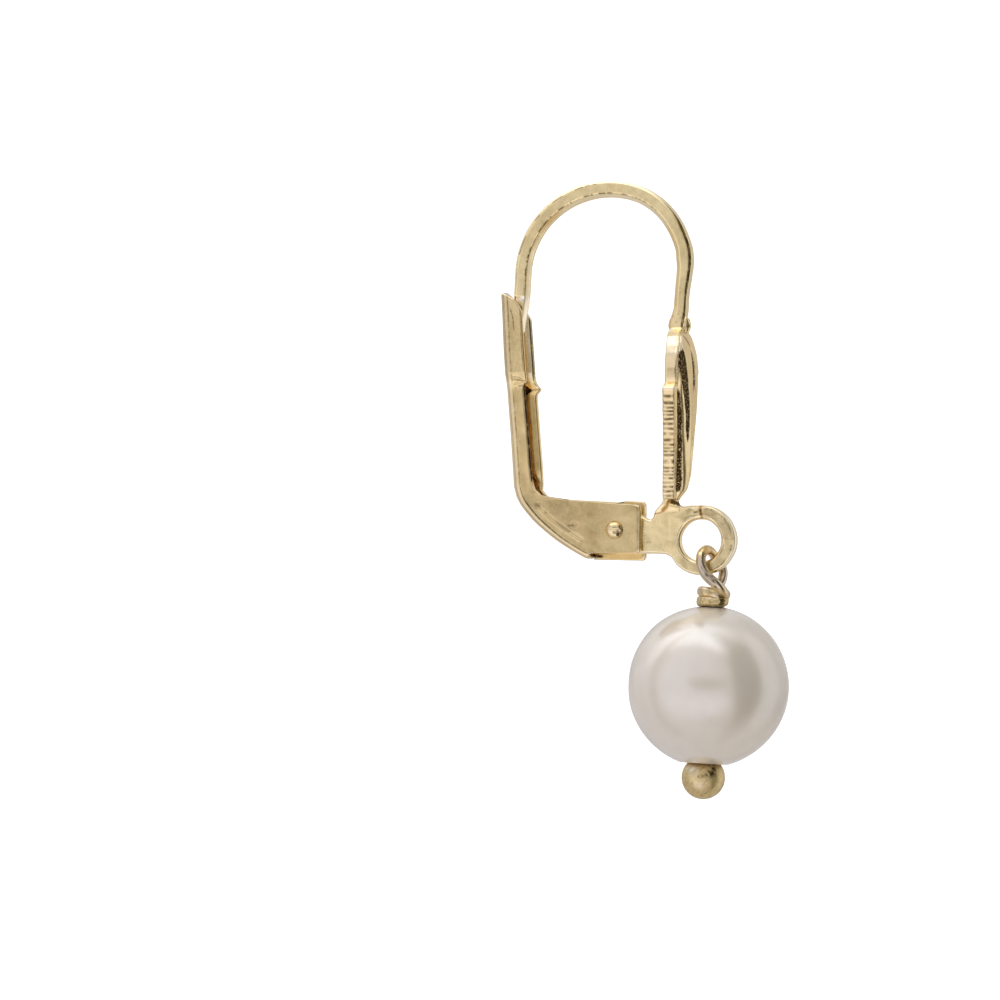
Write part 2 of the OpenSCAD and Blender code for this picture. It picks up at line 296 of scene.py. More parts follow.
def pearl_material():
    n = Nodes("pearl")
    swirl = n.noise(0.16, 3.0, 0.5, distort=1.2)
    fine = n.noise(1.2, 4.0, 0.6)
    base = n.mix(n.spread(swirl, 0.35, 0.65), (0.725, 0.67, 0.57), (0.755, 0.675, 0.56))
    base = n.mix(n.math("MULTIPLY", n.spread(fine, 0.4, 0.75), 0.4), base, (0.675, 0.63, 0.54))
    n.link(base, n.shader.inputs["Base Color"])
    s = n.shader.inputs
    s["Metallic"].default_value = 0.1
    s["Roughness"].default_value = 0.23
    s["IOR"].default_value = 2.2
    s["Specular Tint"].default_value = (1.0, 0.975, 1.0, 1.0)
    s["Subsurface Weight"].default_value = 0.15
    s["Subsurface Radius"].default_value = (1.0, 0.8, 0.7)
    s["Subsurface Scale"].default_value = 0.6 * MM
    s["Coat Weight"].default_value = 0.6
    s["Coat Roughness"].default_value = 0.1
    s["Coat IOR"].default_value = 1.6
    n.link(n.bump(fine, 0.004), s["Normal"])
    return n.material


pearl_white = pearl_material()

# the ear wire

FOOT = (-3.716, -6.3)
LEAN = math.radians(6.8)
LEG, FRONT_R, FRONT_TURN = 2.64, 3.64, math.radians(75.3)
BACK_R, BACK_TURN = 4.38, math.radians(107.3)
BACK_LEG, TIP = 1.1, 1.9
FRONT_ARC, BACK_ARC = FRONT_R * FRONT_TURN, BACK_R * BACK_TURN
CROWN = LEG + FRONT_ARC
WIRE_END = CROWN + BACK_ARC + BACK_LEG
WIRE_TOTAL = WIRE_END + TIP
WIRE_STEP, FINE_STEP, SUNK = 0.045, 0.002, 0.5
WIRE_FILLET = 0.035
WIRE_RUNS = (5, 2, 4, 2, 5, 2, 4, 2)
# how far the drawn wire strays out of the even bend, and how much thinner it is, along its length
STRAY_AT = [-0.5, 0.0, 0.67, 1.2, 1.7, 2.2, 2.7, 3.2, 3.7, 4.25, 5.1, CROWN, CROWN + 3, WIRE_END - 1.5,
            WIRE_END, WIRE_TOTAL]
STRAY_BY = [0.10, 0.12, 0.126, 0.09, 0.083, 0.093, 0.09, 0.08, 0.084, 0.04, 0.02, 0.03, -0.04, -0.08,
            -0.10, -0.13]
THIN_AT = [0.0, 0.67, 1.2, 1.7, 2.2, 2.7, 3.2, 3.7, 4.25, 5.1]
THIN_BY = [0.045, 0.05, 0.055, 0.046, 0.026, 0.015, 0.0, 0.01, 0.015, 0.0]


def heading(s):
    """The way the wire runs at length s from its foot, as an angle from straight up."""
    return np.clip(s - LEG, 0, FRONT_ARC) / FRONT_R + np.clip(s - CROWN, 0, BACK_ARC) / BACK_R - LEAN


def wire_path():
    """Lengths from the foot, and the centre line's y and z there."""
    s = np.arange(-SUNK, WIRE_TOTAL + WIRE_STEP / 2, WIRE_STEP)
    fine = np.arange(-SUNK, WIRE_TOTAL + 0.005, FINE_STEP)
    zero = np.argmin(abs(fine))
    line = []
    for part, foot in ((np.sin, FOOT[0]), (np.cos, FOOT[1])):
        run = np.cumsum(part(heading(fine))) * FINE_STEP
        line.append(np.interp(s, fine, run - run[zero]) + foot)
    return s, *line


def wire_section(half, deep, bevel_in, bevel_out, bevel_x):
    """Points of a bevelled square. X is across and the second value points out of the bend. Each
    point has the number of the corner it rounds, or a number between two, and a weight."""
    corners = [(-half, bevel_in - deep), (-half, deep - bevel_out), (bevel_out - half, deep),
               (half - bevel_out, deep), (half, deep - bevel_out), (half, bevel_in - deep),
               (half - bevel_x, -deep), (bevel_x - half, -deep)]
    corners = [np.array(c) for c in corners]
    count = len(corners)
    rounded = []
    for i, c in enumerate(corners):
        a, b = unit(corners[i - 1] - c) * WIRE_FILLET, unit(corners[(i + 1) % count] - c) * WIRE_FILLET
        rounded.append([c + a * (1 - t) ** 2 + b * t ** 2 for t in (0, 0.35, 0.65, 1)])
    pts, tags, weights = [], [], []
    for i, run in enumerate(WIRE_RUNS):
        first, last = rounded[i][-1], rounded[(i + 1) % count][0]
        pts += rounded[i] + [first + (last - first) * k / (run + 1) for k in range(1, run + 1)]
        tags += [i] * 4 + [i + 0.5] * run
        weights += [0.25, 1, 1, 0.25] + [0.0] * run
    return np.array(pts), np.array(tags), np.array(weights)


def wire_ring(s, y, z):
    """The wire's section at length s, with the corner number and weight of each point."""
    thick = ramp(s, LEG - 0.4, LEG + 0.8) * (1 - ramp(s, CROWN + 4.6, WIRE_END - 0.4))
    side = 0.385 + 0.025 * thick
    thin = 1 - 0.41 * ramp(s, WIRE_END, WIRE_TOTAL)
    deep = (side - np.interp(s, THIN_AT, THIN_BY)) * thin
    side -= 0.03 * ramp(s, WIRE_END + 0.1, WIRE_END + 0.25) + 0.03 * ramp(s, WIRE_END + 0.25, WIRE_TOTAL)
    bevel_out = (0.115 - 0.045 * bump_at(s, 1.1, 0.6)) * thin
    bevel_x = 0.2 + 0.1 * ramp(s, LEG + 1.5, LEG + 3.5)
    pts, tags, weights = wire_section(side, deep, 0.2 * thin, bevel_out, bevel_x)
    out = pts[:, 1] + np.interp(s, STRAY_AT, STRAY_BY)
    ring = points_at(pts[:, 0], y - out * np.cos(heading(s)), z + out * np.sin(heading(s)))
    return ring, tags, weights


def dashes(s, seed):
    """From 0 to 1 along a length s in mm, broken as a worn line is."""
    p = points_at(s, 0.0, 0.0)
    return ramp(ripple(p, 0.4, seed) + 0.8 * ripple(p, 0.11, seed + 1), -0.55, 0.25)


def wire_marks(s, tags, weights):
    """Dark broken lines along the wire's corners, a painted dark edge reflection, the rest a little
    darker away from the crown and the tip, and painted highlight on the bevels, on a band where
    the tip's chamfer starts and on the tip.
    """
    at_tip = ramp(s, WIRE_END, WIRE_END + 0.3)
    front = ramp(s, 0.0, 0.4) * (1 - ramp(s, 4.6, 5.6))
    inner = ramp(s, 4.8, 6.0) * (0.6 + 0.4 * ramp(s, CROWN, CROWN + 1.5)) * (1 - at_tip)
    outer = 0.75 * ramp(s, CROWN + 1.2, CROWN + 2.6) * (1 - ramp(s, WIRE_END - 1.6, WIRE_END))
    mark = np.full(len(tags), 0.08 * (1 - bump_at(s, CROWN, 2.6)) * (1 - at_tip))
    for corner, strength in ((0, inner * dashes(s, 5)), (5, 0.8 * inner * dashes(s, 7)),
                             (1, max(front, outer * dashes(s, 9))), (4, max(front, outer * dashes(s, 12)))):
        mark[tags == corner] = strength * weights[tags == corner]
    for bevel in (1.5, 3.5):
        mark[tags == bevel] = 0.85 * front * dashes(s, 14)
    pale = 0.6 * (tags % 2 == 1.5) * (1 - front) + 0.8 * bump_at(s, WIRE_END + 0.25, 0.12) + 0.35 * at_tip
    return np.clip(mark, 0, 1), np.clip(pale, 0, 1)


def ear_wire():
    rings, marks, pales = [], [], []
    for s, y, z in zip(*wire_path()):
        ring, tags, weights = wire_ring(s, y, z)
        mark, pale = wire_marks(s, tags, weights)
        rings.append(ring)
        marks.append(mark)
        pales.append(pale)
    rings = np.array(rings)
    rings += 0.006 * ripple(rings, 0.7, 11)[..., None]
    cols = rings.shape[1]
    way = (0, math.sin(heading(WIRE_TOTAL)), math.cos(heading(WIRE_TOTAL)))
    tip = closing_rings(rings[-1], way, ((0.9, 0.035), (0.6, 0.05), (0.02, 0.05)))
    rings = np.concatenate([rings, tip])
    faces = grid_faces(len(rings), cols) + [tuple(range(cols))]
    mark, pale = (np.concatenate([*v, np.zeros(len(tip) * cols)]) for v in (marks, pales))
    build("ear_wire", rings.reshape(-1, 3), faces, hook_gold, "hook", "hook_gold", ["ear_hook"],
          mark=mark, pale=pale)


ear_wire()


# the shell

SHELL = np.array([
    # z, dome half-width, full half-width, crest y, back y
    [-6.62, 0.40, 0.62, -4.16, -3.46], [-6.70, 0.62, 0.84, -4.26, -3.46],
    [-6.95, 1.05, 1.27, -4.38, -3.50], [-7.40, 1.45, 1.69, -4.47, -3.56],
    [-7.95, 1.73, 1.98, -4.58, -3.58], [-8.60, 1.86, 2.12, -4.65, -3.58],
    [-9.15, 1.85, 2.11, -4.66, -3.58], [-9.32, 1.83, 2.06, -4.66, -3.57],
    [-9.62, 1.76, 2.40, -4.66, -3.52], [-10.5, 1.52, 2.11, -4.65, -3.46],
    [-11.6, 1.22, 1.70, -4.59, -3.38], [-12.8, 0.89, 1.25, -4.51, -3.28],
    [-13.9, 0.58, 0.84, -4.42, -3.16], [-14.6, 0.38, 0.58, -4.27, -3.09],
    [-15.0, 0.27, 0.44, -3.92, -3.06]])
RIM = 0.65
SIDE_VIEW = math.radians(75)
SHELL_STEP, WAIST, WAIST_ROWS, SMOOTH_ROWS = 0.0225, -9.28, 16, 9
BACK_POINTS, SIDE_POINTS, WING_POINTS, DOME_POINTS = 12, 18, 14, 132
MILL_PITCH = 0.22


def dome_height(u):
    """Height of the plain dome, from 0 at its edge to 1, at u = x / half-width."""
    return np.power(np.clip(1 - np.abs(u) ** 2.5, 0, 1), 0.42)


# Two dark sandy grooves and a thin line run down each flank. Each row is z, then how far out the
# groove's near and far edges stand, as seen from the side at the angle SIDE_VIEW.
STREAK = np.array([[-7.62, 3.84, 3.84], [-7.86, 3.72, 3.94], [-8.12, 3.67, 4.0], [-8.6, 3.67, 4.05],
                   [-9.1, 3.75, 4.12], [-9.6, 3.85, 4.15], [-10.1, 3.92, 4.17], [-10.6, 3.97, 4.19],
                   [-11.1, 4.0, 4.19], [-11.6, 4.01, 4.17], [-12.0, 4.05, 4.15], [-12.25, 4.09, 4.09]])
WING_GROOVE = np.array([[-9.5, 3.32, 3.55], [-9.86, 3.34, 3.7], [-10.36, 3.49, 3.77], [-10.86, 3.56, 3.8],
                        [-11.6, 3.58, 3.82], [-12.6, 3.62, 3.82], [-13.6, 3.67, 3.81], [-14.1, 3.69, 3.83],
                        [-14.4, 3.71, 3.82], [-14.64, 3.76, 3.76]])
THIN_LINE = np.array([[-6.97, 3.89], [-7.12, 4.04], [-7.3, 4.14], [-7.52, 4.24], [-7.87, 4.34],
                      [-8.37, 4.43], [-8.92, 4.49], [-9.31, 4.49], [-9.8, 4.51]])


def at_row(table, z, column):
    return np.interp(-z, -table[:, 0], table[:, column])


def lower_part(z):
    """1 on the shell's lower, winged part."""
    return ramp(-z, 9.35, 9.62)


def shell_rows():
    """Height, dome half-width, full half-width, crest and back of each row, from the top down."""
    zs = np.arange(SHELL[0, 0], SHELL[-1, 0] - 0.001, -SHELL_STEP)
    table = SHELL[::-1]
    columns = [np.interp(zs, table[:, 0], table[:, i]) for i in (1, 2, 3, 4)]
    waist = int(np.argmin(abs(zs - WAIST)))
    weights = np.hanning(2 * SMOOTH_ROWS + 3)[1:-1]
    for column in columns:
        for part in (slice(0, waist), slice(waist + WAIST_ROWS, None)):
            run = column[part]
            wide = np.concatenate([2 * run[0] - run[SMOOTH_ROWS:0:-1], run,
                                   2 * run[-1] - run[-2:-SMOOTH_ROWS - 2:-1]])
            column[part] = np.convolve(wide, weights / weights.sum(), "valid")
    for column in (columns[0], columns[2]):
        column[4:-4] = np.convolve(column, np.ones(9) / 9, "valid")
    return zip(zs, *columns)


def strip(x, y, z, mark=0.0, sand=0.0, other=0.0):
    """A run of points at height z, each with its place and its marks."""
    return np.stack(np.broadcast_arrays(x, y, z, mark, sand, other), 1)


class Relief:
    """Height, dark mark and sand across the dome, added one shape at a time."""

    def __init__(self, height):
        self.height = height
        self.mark = np.zeros(len(height))
        self.sand = np.zeros(len(height))

    def add(self, shape, height=0.0, mark=0.0, sand=0.0):
        self.height = self.height + height * shape
        self.mark = np.maximum(self.mark, mark * shape)
        self.sand = np.maximum(self.sand, sand * shape)


def dome_strip(z, a, rim, rise):
    """The domed middle. U runs from -1 to 1 across it."""
    u = np.linspace(-1, 1, DOME_POINTS)
    u = np.sign(u) * np.abs(u) ** 0.9
    fine = np.linspace(-1, 0, 240)

    def seen(at):
        return (rise * dome_height(at) - rim) * math.sin(SIDE_VIEW) + at * a * math.cos(SIDE_VIEW)

    def where(table, column):
        return np.interp(at_row(table, z, column), np.maximum.accumulate(seen(fine)), fine)

    place = points_at(u * a, 0.0, z)
    wob = 0.012 * ripple(place, 0.35, 21) + 0.008 * ripple(place, 0.12, 22)
    fade_top, fade_end = ramp(-z, 7.0, 7.7), 1 - ramp(-z, 13.6, 14.9)
    relief = Relief(rise * dome_height(u))
    # the dark streak, and the groove between the wing and the dome, on both flanks
    for side in (-1, 1):
        if STREAK[-1, 0] < z < STREAK[0, 0]:
            relief.add(band(wob - side * u, -where(STREAK, 2), -where(STREAK, 1), 0.018), -0.07, 1.25, 1.1)
        groove = band(wob - side * u, -where(WING_GROOVE, 2), 1.5, 0.018) * ramp(-z, 9.45, 9.6)
        relief.add(groove * (1 - ramp(-z, 14.6, 14.75)), -0.06, 1.25, 1.1)
    # the wide smooth ridge, and the thin line beside it
    relief.add(bump_at(u, -0.36, 0.15) * fade_top * fade_end, 0.04)
    line_u, above = where(THIN_LINE, 1), 1 - ramp(-z, 9.3, 9.9)
    line = np.maximum(bump_at(u, line_u + wob * 0.4, 0.032),
                      bump_at(seen(u), at_row(THIN_LINE, z, 1), 0.045) * bump_at(u, line_u, 0.13))
    relief.add(line * above * ramp(-z, 6.92, 7.02), -0.09, 1.15)
    relief.add(bump_at(u, line_u + 0.07, 0.04) * above * fade_top, 0.03)
    # the sandy middle groove
    relief.add(bump_at(u, -0.05, 0.09) * fade_top * fade_end, -0.05)
    relief.add(bump_at(u, 0.0, 0.1) * ramp(-z, 7.6, 8.4) * (1 - ramp(-z, 12.2, 13.0)), sand=1)
    # a wide rib, two thin lines, a sandy groove and the last rib
    relief.add(bump_at(u, 0.2, 0.1) * fade_top * fade_end, 0.04)
    for at in (0.33, 0.44):
        relief.add(bump_at(u, at + wob * 0.4, 0.018) * ramp(-z, 6.9, 7.3) * fade_end, -0.035, 0.85)
    below = fade_end * ramp(-z, 8.3, 9.2)
    relief.add(bump_at(u, 0.6 + wob, 0.06) * below, -0.05, sand=1)
    relief.add(bump_at(u, 0.62 + wob, 0.04) * below, mark=0.8)
    relief.add(ripple(place, 0.06, 23) * relief.sand, 0.018)
    return strip(u * a, rim - relief.height, z, relief.mark, relief.sand)


def wing_strip(z, a, w, rim, side):
    """The border above, and the wing below. T runs from 0 at the dome to 1 at the edge."""
    low = lower_part(z)
    t = np.linspace(0, 1, WING_POINTS + 1)[1:][::side]
    x = side * (a + t * (w - a))
    sand = 0.6 * band(t, 0.1, 0.62, 0.1) * low
    border = -0.05 * bump_at(t, 0.1, 0.13)
    winged = -0.12 * bump_at(t, 0.05, 0.2) + 0.04 * bump_at(t, 0.5, 0.16) - 0.035 * bump_at(t, 0.78, 0.05)
    edge = np.clip((t - 0.84) / 0.16, 0, 1)
    grains = ripple(points_at(x, 0.0, z), 0.08, 25)
    lift = border * (1 - low) + winged * low - 0.05 * edge ** 2 + 0.012 * grains * sand
    marked = 0.6 * bump_at(t, 0.06, 0.1) * ramp(-z, 7.9, 8.4)
    inner = np.clip(1.3 * (1 - ramp(t, 0.18, 0.42 + 0.3 * bump_at(z, -9.8, 0.4))), 0, 1)
    mark = marked * (1 - low) + inner * low * (1 - ramp(-z, 14.6, 14.75))
    return strip(x, rim - lift, z, mark, sand, 0.8 * band(t, 0.3, 0.7, 0.1) * low)


def wall_strip(z, w, rim, side):
    """The side wall, with a scored line above and milled below. Depth runs from 0 at the front to 1."""
    low = lower_part(z)
    depth = np.linspace(0.02, 0.98, SIDE_POINTS)[::side]
    y = rim + depth * (RIM + 0.022 * ripple(points_at(z, 3.0 * side, 1.0), 0.17, 35) * low)
    place = points_at(y, z, side * 2.0)
    slow = ripple(points_at(z + 0.3 * side, 0.0, 0.0), 0.6, 31)
    phase = z / MILL_PITCH + 0.5 * slow + 0.1 * ripple(place, 0.3, 33)
    cutter = np.clip(0.5 + 0.5 * np.cos(2 * math.pi * phase), 0, 1) ** 2.2
    weak = np.clip(0.8 + 0.75 * ripple(place, 0.2, 37), 0.1, 1.2)
    mill = cutter * weak * low * ramp(depth, 0.1, 0.2) * ramp(-z, 9.8, 10.0)
    score = bump_at(depth, 0.14, 0.035)
    edges = 0.05 * bump_at(depth, 1.02, 0.07) + 0.03 * bump_at(depth, -0.02, 0.06)
    x = side * (w - 0.045 * mill - 0.03 * score - edges)
    worn = np.clip(0.7 + 0.5 * ripple(place, 0.4, 39), 0, 1) * (0.3 + 0.7 * ramp(-z, 7.8, 8.3))
    mark = np.clip(0.95 * mill * (0.6 + 0.4 * (1 - depth)) + 0.95 * score * worn, 0, 1)
    second = bump_at(depth, 0.02, 0.03) * (1 - low) * (low < 0.5)
    return strip(x, y, z, np.maximum(mark, 0.7 * second * worn))


def back_strip(z, w, back):
    x = np.linspace(w - 0.05, 0.05 - w, BACK_POINTS)
    dish = 0.04 * (1 - (x / max(w, 0.1)) ** 2)
    return strip(x, back - dish, z)


def shell_ring(z, a, w, crest, back):
    """One row round the shell."""
    rim = back - RIM
    return np.concatenate([wall_strip(z, w, rim, -1), wing_strip(z, a, w, rim, -1),
                           dome_strip(z, a, rim, rim - crest - 0.05), wing_strip(z, a, w, rim, 1),
                           wall_strip(z, w, rim, 1), back_strip(z, w, back)])


def shell_front():
    rows = np.array([shell_ring(*row) for row in shell_rows()])
    verts = rows[..., :3]
    cols = rows.shape[1]
    steps = ((0.96, 0.03), (0.86, 0.07), (0.68, 0.10), (0.4, 0.115), (0.01, 0.12))
    top, low = closing_rings(verts[0], (0, 0, 1), steps), closing_rings(verts[-1], (0, 0, -1), steps)
    verts = np.concatenate([top[::-1], verts, low])
    plain = np.zeros((len(steps), cols))
    marks, sands, others = (np.concatenate([plain, rows[..., i], plain]) for i in (3, 4, 5))
    verts = verts + 0.006 * ripple(verts, 0.45, 41)[..., None] * np.array([1, 1, 0.3])
    x, y, z = verts[..., 0], verts[..., 1], verts[..., 2]
    # the upper border, the shell's top and the wings' shoulders are burnished, with a painted highlight
    pale = (1 - ramp(-z, 7.9, 8.15)) * ramp(y + 0.45 * np.abs(x), -3.95, -3.8) * ramp(-z, 6.8, 7.0)
    marks = np.maximum(marks, 0.12 * pale)
    marks = np.maximum(marks, 0.08 * ramp(-z, 9.2, 9.6))
    pale = np.maximum(0.45 * pale, 0.8 * (1 - ramp(-z, 6.64, 6.95)))
    pale = np.maximum(pale, 0.5 * bump_at(z, -9.62, 0.12) * (np.abs(x) > 1.9))
    pale = pale * (1 - np.clip(marks, 0, 1))
    build("shell_front", verts.reshape(-1, 3), grid_faces(len(verts), cols), shell_gold, "hook", "hook_gold",
          ["ear_hook"], mark=marks.ravel(), sand=sands.ravel(), other=others.ravel(), pale=pale.ravel())


shell_front()


def lump(centre, size, seed):
    """A small irregular drop of solder."""
    work = bmesh.new()
    bmesh.ops.create_icosphere(work, subdivisions=4, radius=1.0)
    v = np.array([p.co[:] for p in work.verts])
    f = [tuple(q.index for q in face.verts) for face in work.faces]
    work.free()
    swell = 0.156 * ripple(v, 0.7, seed) + 0.048 * ripple(v, 0.3, seed + 1)
    return v * (1 + swell)[:, None] * np.array(size) + np.array(centre), f


SOLDER = np.array([
    # z, middle y, half-width across, half-depth, squareness
    [-5.50, -3.90, 0.33, 0.29, 5.0], [-5.75, -3.88, 0.37, 0.335, 4.5], [-5.95, -3.85, 0.39, 0.375, 4.0],
    [-6.15, -3.82, 0.42, 0.43, 3.6], [-6.35, -3.80, 0.45, 0.47, 3.2], [-6.52, -3.80, 0.49, 0.48, 3.0],
    [-6.66, -3.82, 0.53, 0.46, 2.8], [-6.80, -3.84, 0.5, 0.42, 2.6]])
SOLDER_STEP, SOLDER_POINTS = 0.02, 72
DROPS = (((-0.06, -4.18, -6.46), (0.31, 0.26, 0.5), 51), ((-0.05, -3.52, -6.6), (0.34, 0.14, 0.2), 53))


def solder_ring(z):
    """One row of the collar, with a crevice on its two front corners, and its marks: painted shade in
    the crevices and random darker patches.
    """
    y, across, deep, square = (at_row(SOLDER, z, i) for i in (1, 2, 3, 4))
    a = circle(SOLDER_POINTS)
    r = (np.abs(np.cos(a)) ** square + np.abs(np.sin(a)) ** square) ** (-1 / square)
    crevice = bump_at(a, math.radians(222), 0.16) + bump_at(a, math.radians(318), 0.16)
    crevice = crevice * ramp(-z, 5.95, 6.2) * (1 - ramp(-z, 6.62, 6.74))
    r = r * (1 - 0.2 * crevice)
    ring = points_at(across * r * np.cos(a), y + deep * r * np.sin(a), z)
    rough = 0.035 * ripple(ring, 0.22, 55) * ramp(-z, 5.7, 6.1)
    ring[:, 0] *= 1 + rough
    ring[:, 1] += rough * 0.6
    return ring, np.clip(crevice * 1.3 + 0.6 * np.clip(ripple(ring, 0.13, 57) - 0.35, 0, 1), 0, 1)


def solder():
    """The wire's foot, flared by solder where it runs into the shell, with one drop in front."""
    rows = [solder_ring(z) for z in np.arange(SOLDER[0, 0], SOLDER[-1, 0], -SOLDER_STEP)]
    v, mark = np.concatenate([r[0] for r in rows]), np.concatenate([r[1] for r in rows])
    faces = grid_faces(len(rows), SOLDER_POINTS)
    faces += [tuple(range(SOLDER_POINTS)), tuple(range(len(v) - SOLDER_POINTS, len(v)))]
    for centre, size, seed in DROPS:
        lump_v, lump_f = lump(centre, size, seed)
        faces += [tuple(i + len(v) for i in q) for q in lump_f]
        # painted shadow on the side of the front drop that lies next to the collar
        shadow_side = bump_at(lump_v[:, 1], centre[1] + 0.12, 0.09) * (lump_v[:, 0] < 0) * (centre[1] < -4)
        lump_mark = np.clip(0.6 * ripple(lump_v, 0.16, seed + 4) - 0.3 + 0.9 * shadow_side, 0, 1)
        v, mark = np.concatenate([v, lump_v]), np.concatenate([mark, lump_mark])
    build("solder_collar", v, faces, shell_gold, "hook", "hook_gold", ["ear_hook"], mark=mark)


solder()


# the hinge plate and ring

RING, RING_OUT, RING_IN = np.array([-4.97, -17.1]), 1.74, 1.03
RIVET = np.array([-0.67, -16.58])


def arc(centre, r, start, end, count):
    t = np.radians(np.linspace(start, end, count))
    return [(centre[0] + r * math.cos(q), centre[1] + r * math.sin(q)) for q in t]


def resample(points, step):
    """A closed loop through points, in even steps of about step mm."""
    p = np.array(list(points) + [points[0]], float)
    total = lengths(p)[-1]
    return along(p, np.linspace(0, total, max(int(round(total / step)), 4), endpoint=False))


def smooth_loop(p, rounds):
    for _ in range(rounds):
        p = 0.5 * p + 0.25 * (np.roll(p, 1, 0) + np.roll(p, -1, 0))
    return p


def inward(p):
    """Unit normals of a closed loop that runs counterclockwise, pointing to its inside."""
    t = unit(np.roll(p, -1, 0) - np.roll(p, 1, 0))
    return np.stack([-t[:, 1], t[:, 0]], 1)


def inside(q, loop):
    y, z = q[:, 0][:, None], q[:, 1][:, None]
    ay, az = loop[:, 0][None], loop[:, 1][None]
    by, bz = np.roll(ay, -1, 1), np.roll(az, -1, 1)
    cross = ((az > z) != (bz > z)) & (y < (by - ay) * (z - az) / (bz - az + 1e-12) + ay)
    return cross.sum(1) % 2 == 1


def within(q, rims):
    """Which of the points q lie inside the first rim and outside the others."""
    keep = inside(q, rims[0])
    for r in rims[1:]:
        keep &= ~inside(q, r)
    return keep


def face_grid(rims):
    """A triangular grid of points over the plate's face, clear of its rims."""
    low, high = rims[0].min(0), rims[0].max(0)
    gy, gz = np.meshgrid(np.arange(low[0], high[0], PLATE_GRID),
                         np.arange(low[1], high[1], PLATE_GRID * 0.87))
    gy[1::2] += PLATE_GRID / 2
    q = np.stack([gy.ravel(), gz.ravel()], 1)
    q = q[within(q, rims)]
    border = np.concatenate(rims)
    near = np.array([np.min(np.sum((border - p) ** 2, 1)) for p in q])
    return np.concatenate([border, q[near > (0.6 * PLATE_GRID) ** 2]])


def face_triangles(rims):
    """Points and triangles of the plate's face, and for each point the rim point it came from."""
    edges, at = [], 0
    for r in rims:
        edges += [(at + k, at + (k + 1) % len(r)) for k in range(len(r))]
        at += len(r)
    out = delaunay_2d_cdt([Vector(p) for p in face_grid(rims)], edges, [], 1, 1e-7)
    points, tris = np.array([v[:] for v in out[0]]), out[2]
    good = within(np.array([points[list(t)].mean(0) for t in tris]), rims)
    source = [s[0] if len(s) and s[0] < at else None for s in out[3]]
    return points, [t for t, ok in zip(tris, good) if ok], source


def plate(loops, half, steps):
    """A flat plate between x = -half and half. loops holds the outline first, then the hole, both
    counterclockwise. steps gives (inset, depth) pairs of the rounded edge for each loop, from the
    edge's middle to the face. Returns points, faces and which points lie on the flat face."""
    verts, faces, flat, starts = [], [], [], {}
    for i, loop in enumerate(loops):
        norm, n = inward(loop) * (1 if i == 0 else -1), len(loop)
        for sgn in (-1, 1):
            for j, (inset, depth) in enumerate(steps[i]):
                starts[(i, sgn, j)] = len(verts)
                verts += [(sgn * (half - depth), *p) for p in loop + norm * inset]
                flat += [False] * n
        for sgn in (-1, 1):
            for j in range(len(steps[i]) - 1):
                faces += bridge(starts[(i, sgn, j)], starts[(i, sgn, j + 1)], n)
        faces += bridge(starts[(i, -1, 0)], starts[(i, 1, 0)], n)
    last = [len(s) - 1 for s in steps]
    firsts = [starts[(i, 1, last[i])] for i in range(len(loops))]
    rims = [np.array(verts[f:f + len(loop)])[:, 1:] for f, loop in zip(firsts, loops)]
    points, tris, source = face_triangles(rims)
    for sgn in (-1, 1):
        rim_points = []
        for i, loop in enumerate(loops):
            rim_points += [starts[(i, sgn, last[i])] + k for k in range(len(loop))]
        index = []
        for p, s in zip(points, source):
            index.append(len(verts) if s is None else rim_points[s])
            if s is None:
                verts.append((sgn * (half - steps[0][-1][1]), *p))
                flat.append(True)
        faces += [tuple(index[v] for v in t) for t in tris]
    return np.array(verts), faces, np.array(flat)


PLATE_GRID, PLATE_HALF = 0.055, 0.28
NECK = [(-0.67, -15.43), (-1.6, -15.72), (-2.25, -16.0), (-2.40, -16.06), (-2.52, -15.95), (-2.60, -15.66),
        (-2.80, -15.42), (-2.98, -15.22), (-3.06, -14.9), (-3.06, -14.5), (-3.70, -14.5),
        (-3.76, -15.0), (-3.86, -15.33), (-4.05, -15.41), (-4.4, -15.37)]
UNDERSIDE = [(-3.46, -17.93), (-3.2, -17.79), (-2.9, -17.77)]
ROUND_EDGE = ((0.0, 0.2), (0.0, 0.16), (0.02, 0.10), (0.055, 0.035), (0.07, 0.015), (0.09, 0.0), (0.12, 0.0))
HOLE_EDGE = ((0.0, 0.22), (0.0, 0.15), (0.03, 0.09), (0.09, 0.025), (0.12, 0.004), (0.16, 0.0))
RING_CREASES = (
    # strength, width and points of each crease, drawn as a line of painted shade
    (0.6, 0.05, [(-4.95, -15.62), (-4.99, -15.78)]),
    (0.8, 0.05, [(-4.66, -15.72), (-4.8, -15.69)]),
    (0.45, 0.025, [(-4.2, -15.99), (-4.5, -15.89), (-4.85, -15.87)]),
    (0.5, 0.02, [(-6.05, -16.95), (-6.25, -17.03), (-6.7, -17.02)]),
    (0.35, 0.03, [(-5.05, -15.77), (-5.35, -15.88), (-5.65, -16.06)]),
    (0.45, 0.025, [(-2.25, -17.2), (-2.36, -17.16), (-2.45, -17.2)]))


def ring_loops():
    """The outline of plate, neck and ring, and the ring's hole, both a little uneven."""
    outline = arc(RIVET, 1.15, -90, 90, 30)[:-1] + NECK + arc(RING, RING_OUT, 95, 318, 90) + UNDERSIDE
    loop = smooth_loop(resample(outline, 0.045), 2)
    hole = smooth_loop(resample(arc(RING, RING_IN, 0, 357, 120), 0.05), 1)
    for p, amount, seed in ((loop, 0.012, 61), (hole, 0.014, 63)):
        p += inward(p) * (amount * ripple(points_at(p[:, 0], p[:, 1], 0.0), 0.5, seed))[:, None]
    # the ring's free side is a little fuller
    free = bump_at(np.degrees(np.arctan2(loop[:, 1] - RING[1], RING[0] - loop[:, 0])), 0, 48)
    loop -= inward(loop) * (0.07 * free * (loop[:, 0] < RING[0]))[:, None]
    return [loop, hole]


